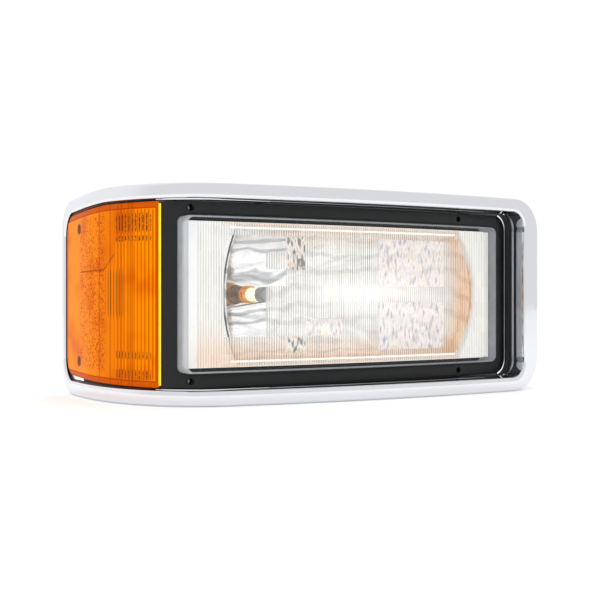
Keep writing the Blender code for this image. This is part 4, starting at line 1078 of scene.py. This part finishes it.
capsule = [(0, -86), (1.6, -85.9), (3.2, -85.3), (4.8, -84.2), (6.0, -83), (6.9, -81.2), (7.4, -79),
           (7.4, -44), (6.9, -41.6), (6.4, -40), (6.4, -31), (5.4, -31), (5.4, -39.5), (5.9, -41.2),
           (6.4, -43.5), (6.4, -78.6), (5.9, -80.8), (5.2, -82), (3.8, -83.5), (2.0, -84.4), (0, -84.6)]
glass = make_piece("quartz_capsule", turned_mesh([capsule], SEAT, "y", 56), quartz, "reflector_body")
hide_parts("bulb_glass")

# %% [markdown]
# ## Amber turn signal
# The amber lens follows the bezel round the corner. Outside it is smooth; inside it has
# upright flutes towards the front, a field of fine pips on the side and a plain strip at
# the rear, within a flat border. The sheet is lit through, so the finish is a glossy
# orange that glows a little, with the optics drawn on it in millimetres round the corner.

# %% Signal outlines
SIGNAL_BACK_X, SIGNAL_HALF, SIGNAL_REAR_GAP = -211.5, 91.4, 0.8


def signal_back(s):
    """Where the signal's depth line ends in plan: straight back at first, then square in."""
    back = 24.0 * (1 - smooth((s - SIGNAL_START) / 90.0))
    return Vector((SIGNAL_BACK_X, line_place(s).y + back))


def on_signal(s, z, depth):
    """A place behind the amber lens's face, along that depth line."""
    place = line_place(s)
    reach = clamp01((s - SIGNAL_START) / (SIGNAL_END - SIGNAL_START))
    if z > 0:
        z -= 7.0 * clamp01((s - TAPER_START) / (LENGTH - TAPER_START))
    else:
        z += 4.0 * reach**2
    p = place + (signal_back(s) - place).normalized() * depth
    return point(p.x, p.y, z)


def signal_row(by, half, radius, depth):
    """An outline on the signal as (s, z) pairs and places."""
    upper = chain(SIGNAL_START + by, SIGNAL_END - SIGNAL_REAR_GAP - by, half, radius, radius + 16.7, 14, 80)
    pairs = upper + [(s, -z) for s, z in reversed(upper)]
    return [(s - SIGNAL_START, z, on_signal(s, z, depth)) for s, z in pairs]


def signal_skin(rows, cap_last):
    """A skin whose points remember how far along and how high they are."""
    mesh = skin([[p for _, _, p in row] for row in rows], cap_last=cap_last)
    along = mesh.verts.layers.float.new("along")
    height = mesh.verts.layers.float.new("height")
    flat = [pair for row in rows for pair in row]
    for v, (s, z, _) in zip(mesh.verts, flat):
        v[along], v[height] = s, z
    return turn_towards(mesh, OUTBOARD)


print("signal rows have", len(signal_row(0, SIGNAL_HALF, 5.2, 0)), "points")

# %% Amber finish
amber_pc, tree, shader = start_material(
    "moulded_amber_polycarbonate", "#f58a00", 0.2, 0.0,
    {"Specular IOR Level": 0.012},
)
AMBER_LENGTH = SIGNAL_END - SIGNAL_REAR_GAP - SIGNAL_START


def maths(kind, a, b=0.0, c=0.0):
    """One maths node, with a number or another node's first output for each input."""
    node = tree.nodes.new("ShaderNodeMath")
    node.operation = kind
    for index, value in enumerate((a, b, c)):
        if isinstance(value, (int, float)):
            node.inputs[index].default_value = value
        else:
            tree.links.new(value, node.inputs[index])
    return node.outputs[0]


def window(value, low, high, soft):
    """One between low and high, and nothing outside, with soft edges."""
    rise, fall = [
        add_node(
            tree, "ShaderNodeMapRange",
            {"interpolation_type": "SMOOTHSTEP", "From Min": edge - soft, "From Max": edge + soft},
            {"Value": value},
        )
        for edge in (low, high)
    ]
    return maths("SUBTRACT", rise.outputs[0], fall.outputs[0])


along = add_node(tree, "ShaderNodeAttribute", {"attribute_name": "along"}).outputs["Fac"]
height = add_node(tree, "ShaderNodeAttribute", {"attribute_name": "height"}).outputs["Fac"]
place = add_node(tree, "ShaderNodeCombineXYZ", {}, {0: along, 1: height}).outputs[0]
flute_wave = maths("ABSOLUTE", maths("SUBTRACT", maths("FRACT", maths("DIVIDE", along, 5.0)), 0.5))
flute_line = window(flute_wave, 0.36, 0.6, 0.1)
in_flutes = maths("MULTIPLY", window(along, 7.0, 60.0, 3.0), window(height, -84.0, 84.0, 1.0))
flutes = maths("MULTIPLY", flute_line, in_flutes)
bundle = add_node(
    tree, "ShaderNodeTexNoise", {"noise_dimensions": "1D", "Detail": 1.0},
    {"W": maths("MULTIPLY", along, 0.33)},
).outputs[0]
long_lines = window(along, 37.2, 38.4, 0.3)
for line_at in (42.5, 54.5, 60.0, 74.0, 96.0):
    long_lines = maths("MAXIMUM", long_lines, window(along, line_at - 0.5, line_at + 0.5, 0.3))
streaks = maths("MULTIPLY", window(bundle, 0.5, 2.0, 0.06), window(along, 50.0, 100.0, 6.0))
print("amber nodes so far:", len(tree.nodes))

# %% Dashes, pips and border on the amber
dash_up = maths("ADD", window(height, 62.0, 80.0, 2.5), window(height, 53.0, 58.0, 1.2))
dash_low = maths("ADD", window(height, -84.0, -75.0, 1.5), window(height, -64.0, -57.0, 1.5))
dash_rows = maths("ADD", dash_up, maths("MULTIPLY", dash_low, 0.8))
wobble = add_node(tree, "ShaderNodeTexNoise", {"Scale": 0.5, "Detail": 2.0}, {"Vector": place}).outputs[0]
dash_spread = maths("MULTIPLY", window(along, 12.0, 64.0, 4.0), window(wobble, 0.42, 2.0, 0.06))
dashes = maths("MULTIPLY", maths("MULTIPLY", window(flute_wave, -0.5, 0.17, 0.08), dash_rows), dash_spread)
centre_dash = maths("MULTIPLY", window(along, 52.0, 82.0, 3.0), window(height, -22.0, 24.0, 5.0))
centre_dash = maths("MULTIPLY", maths("MULTIPLY", centre_dash, window(flute_wave, -0.5, 0.12, 0.06)), 0.8)
pips = add_node(
    tree, "ShaderNodeTexVoronoi", {"Scale": 0.6, "Randomness": 0.75, "feature": "SMOOTH_F1"},
    {"Vector": place},
).outputs["Distance"]
in_pips = maths("MULTIPLY", window(along, 84.0, 152.0, 3.0), window(height, -78.0, 82.0, 3.0))
pip_shade = maths("MULTIPLY", maths("MULTIPLY", window(pips, 0.5, 2.0, 0.12), in_pips), 0.7)
wave_height = add_node(
    tree, "ShaderNodeMapRange",
    {"interpolation_type": "SMOOTHSTEP", "From Min": 60.0, "From Max": 90.0, "To Min": 42.0, "To Max": 25.0},
    {"Value": along},
).outputs[0]
wave_line = window(maths("SUBTRACT", height, wave_height), -0.9, 0.9, 0.5)
wave = maths("MULTIPLY", wave_line, window(along, 66.0, 152.0, 4.0))
screw_across = maths("ABSOLUTE", maths("SUBTRACT", along, 156.0))
screw_up = maths("ABSOLUTE", maths("SUBTRACT", maths("ABSOLUTE", height), 73.0))
screw_far = maths("SQRT", maths("ADD", maths("POWER", screw_across, 2.0), maths("POWER", screw_up, 2.0)))
screw_dark = window(screw_far, -1.0, 6.0, 1.2)
from_top = maths("SUBTRACT", SIGNAL_HALF, maths("ABSOLUTE", height))
from_end = maths("MINIMUM", along, maths("SUBTRACT", AMBER_LENGTH, along))
from_edge = maths("MINIMUM", from_top, from_end)
border = window(from_edge, -2.0, 5.6, 0.7)
groove = window(from_edge, 5.4, 6.8, 0.4)
lines = maths("MAXIMUM", maths("MULTIPLY", flutes, 0.7), maths("MULTIPLY", long_lines, 0.9))
lines = maths("MAXIMUM", maths("MAXIMUM", lines, maths("MULTIPLY", groove, 0.8)), pip_shade)
darks = maths("MAXIMUM", maths("MAXIMUM", dashes, centre_dash), maths("MULTIPLY", wave, 0.5))
darks = maths("MAXIMUM", darks, maths("MULTIPLY", screw_dark, 0.85))
clouds = add_node(tree, "ShaderNodeTexNoise", {"Scale": 0.02, "Detail": 2.0}, {"Vector": place}).outputs[0]


def blend(amount, under, over):
    """One colour mixed over another."""
    node = add_node(tree, "ShaderNodeMix", {"data_type": "RGBA"})
    for index, value in ((0, amount), (6, under), (7, over)):
        if isinstance(value, str):
            node.inputs[index].default_value = linear(value)
        else:
            tree.links.new(value, node.inputs[index])
    return node.outputs[2]


body_colour = blend(window(clouds, 0.42, 2.0, 0.14), "#dc6600", "#f48700")
body_colour = blend(maths("MULTIPLY", streaks, 0.7), body_colour, "#c45206")
body_colour = blend(border, body_colour, "#c85606")
body_colour = blend(lines, body_colour, "#a02c04")
body_colour = blend(darks, body_colour, "#1c1618")
tree.links.new(body_colour, shader.inputs["Base Color"])
tree.links.new(body_colour, shader.inputs["Emission Color"])
shader.inputs["Emission Strength"].default_value = 0.1
relief = maths("SUBTRACT", maths("MULTIPLY", pips, in_pips), maths("MULTIPLY", flutes, 0.5))
amber_bump = add_node(tree, "ShaderNodeBump", {"Strength": 0.12, "Distance": 0.0004}, {"Height": relief})
tree.links.new(amber_bump.outputs[0], shader.inputs["Normal"])

# The cut edge of the sheet gathers light and shows yellow.
amber_edge, tree, shader = start_material("light_gathering_amber_edge", "#ffc400", 0.2)
where, noise = add_grain(tree, shader, 12.0, 0.15, 0.25, 0.02, 0.1)
edge_tint = add_node(
    tree, "ShaderNodeMix", {"data_type": "RGBA", 6: linear("#ffb400"), 7: linear("#ffe000")},
    {0: noise.outputs[0]},
)
tree.links.new(edge_tint.outputs[2], shader.inputs["Base Color"])
tree.links.new(edge_tint.outputs[2], shader.inputs["Emission Color"])
shader.inputs["Emission Strength"].default_value = 0.55

# %% Amber lens
signal_rows = []
for by, radius, depth in (
    (0.0, 5.2, 14.0), (0.0, 5.2, 5.0), (0.0, 5.2, 4.2), (0.4, 5.1, 3.2), (1.3, 4.8, 2.6), (2.4, 4.4, 2.5)
):
    signal_rows.append(signal_row(by, SIGNAL_HALF - by, radius, depth))
amber_mesh = signal_skin(signal_rows, True)
amber_lens = make_piece("amber_signal_lens", amber_mesh, amber_pc)
thicken(amber_lens, 2.4)
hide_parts("turn_signal_lens")
strip = bmesh.new()
strip_rows = []
for k in range(41):
    z = -88.8 + 177.6 * k / 40
    places = [on_signal(SIGNAL_START + s, z, d) for s, d in ((-0.2, 3.4), (0.6, 2.2), (2.0, 1.9), (3.2, 2.3))]
    strip_rows.append([strip.verts.new(p) for p in places])
for one, two in zip(strip_rows, strip_rows[1:]):
    for i in range(3):
        strip.faces.new((one[i], one[i + 1], two[i + 1], two[i]))
bright_edge = make_piece("amber_lens_bright_edge", turn_towards(strip, FORWARD), amber_edge)
print("amber faces:", len(amber_lens.data.polygons))

# %% [markdown]
# ## Everything else
# The bucket, the carrier, the fasteners, the adjusters and the caps are right already as
# CAD, so they stay as they are and get finishes by the record's material slots.

# %% Finishes on the CAD pieces
FINISHES = {
    "chrome": chrome_plate, "black_frame": black_abs, "clear_glass": clear_pc, "amber": amber_edge,
    "black_plastic": black_polypropylene, "reflector_silver": metallised, "white_trim": lacquered_white,
    "rubber": epdm_rubber, "steel": zinc_plate, "nylon": nylon, "brass": brass,
    "tungsten": hot_tungsten, "grey_plastic": grey_pbt,
}
kept = 0
for name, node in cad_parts.items():
    for index, slot in enumerate(node.material_slots):
        was = slot.material.name.split(".")[0] if slot.material else "none"
        if was in FINISHES:
            slot.material = FINISHES[was]
            kept += 1
        else:
            print("no finish for", name, was)
print("slots refinished:", kept)
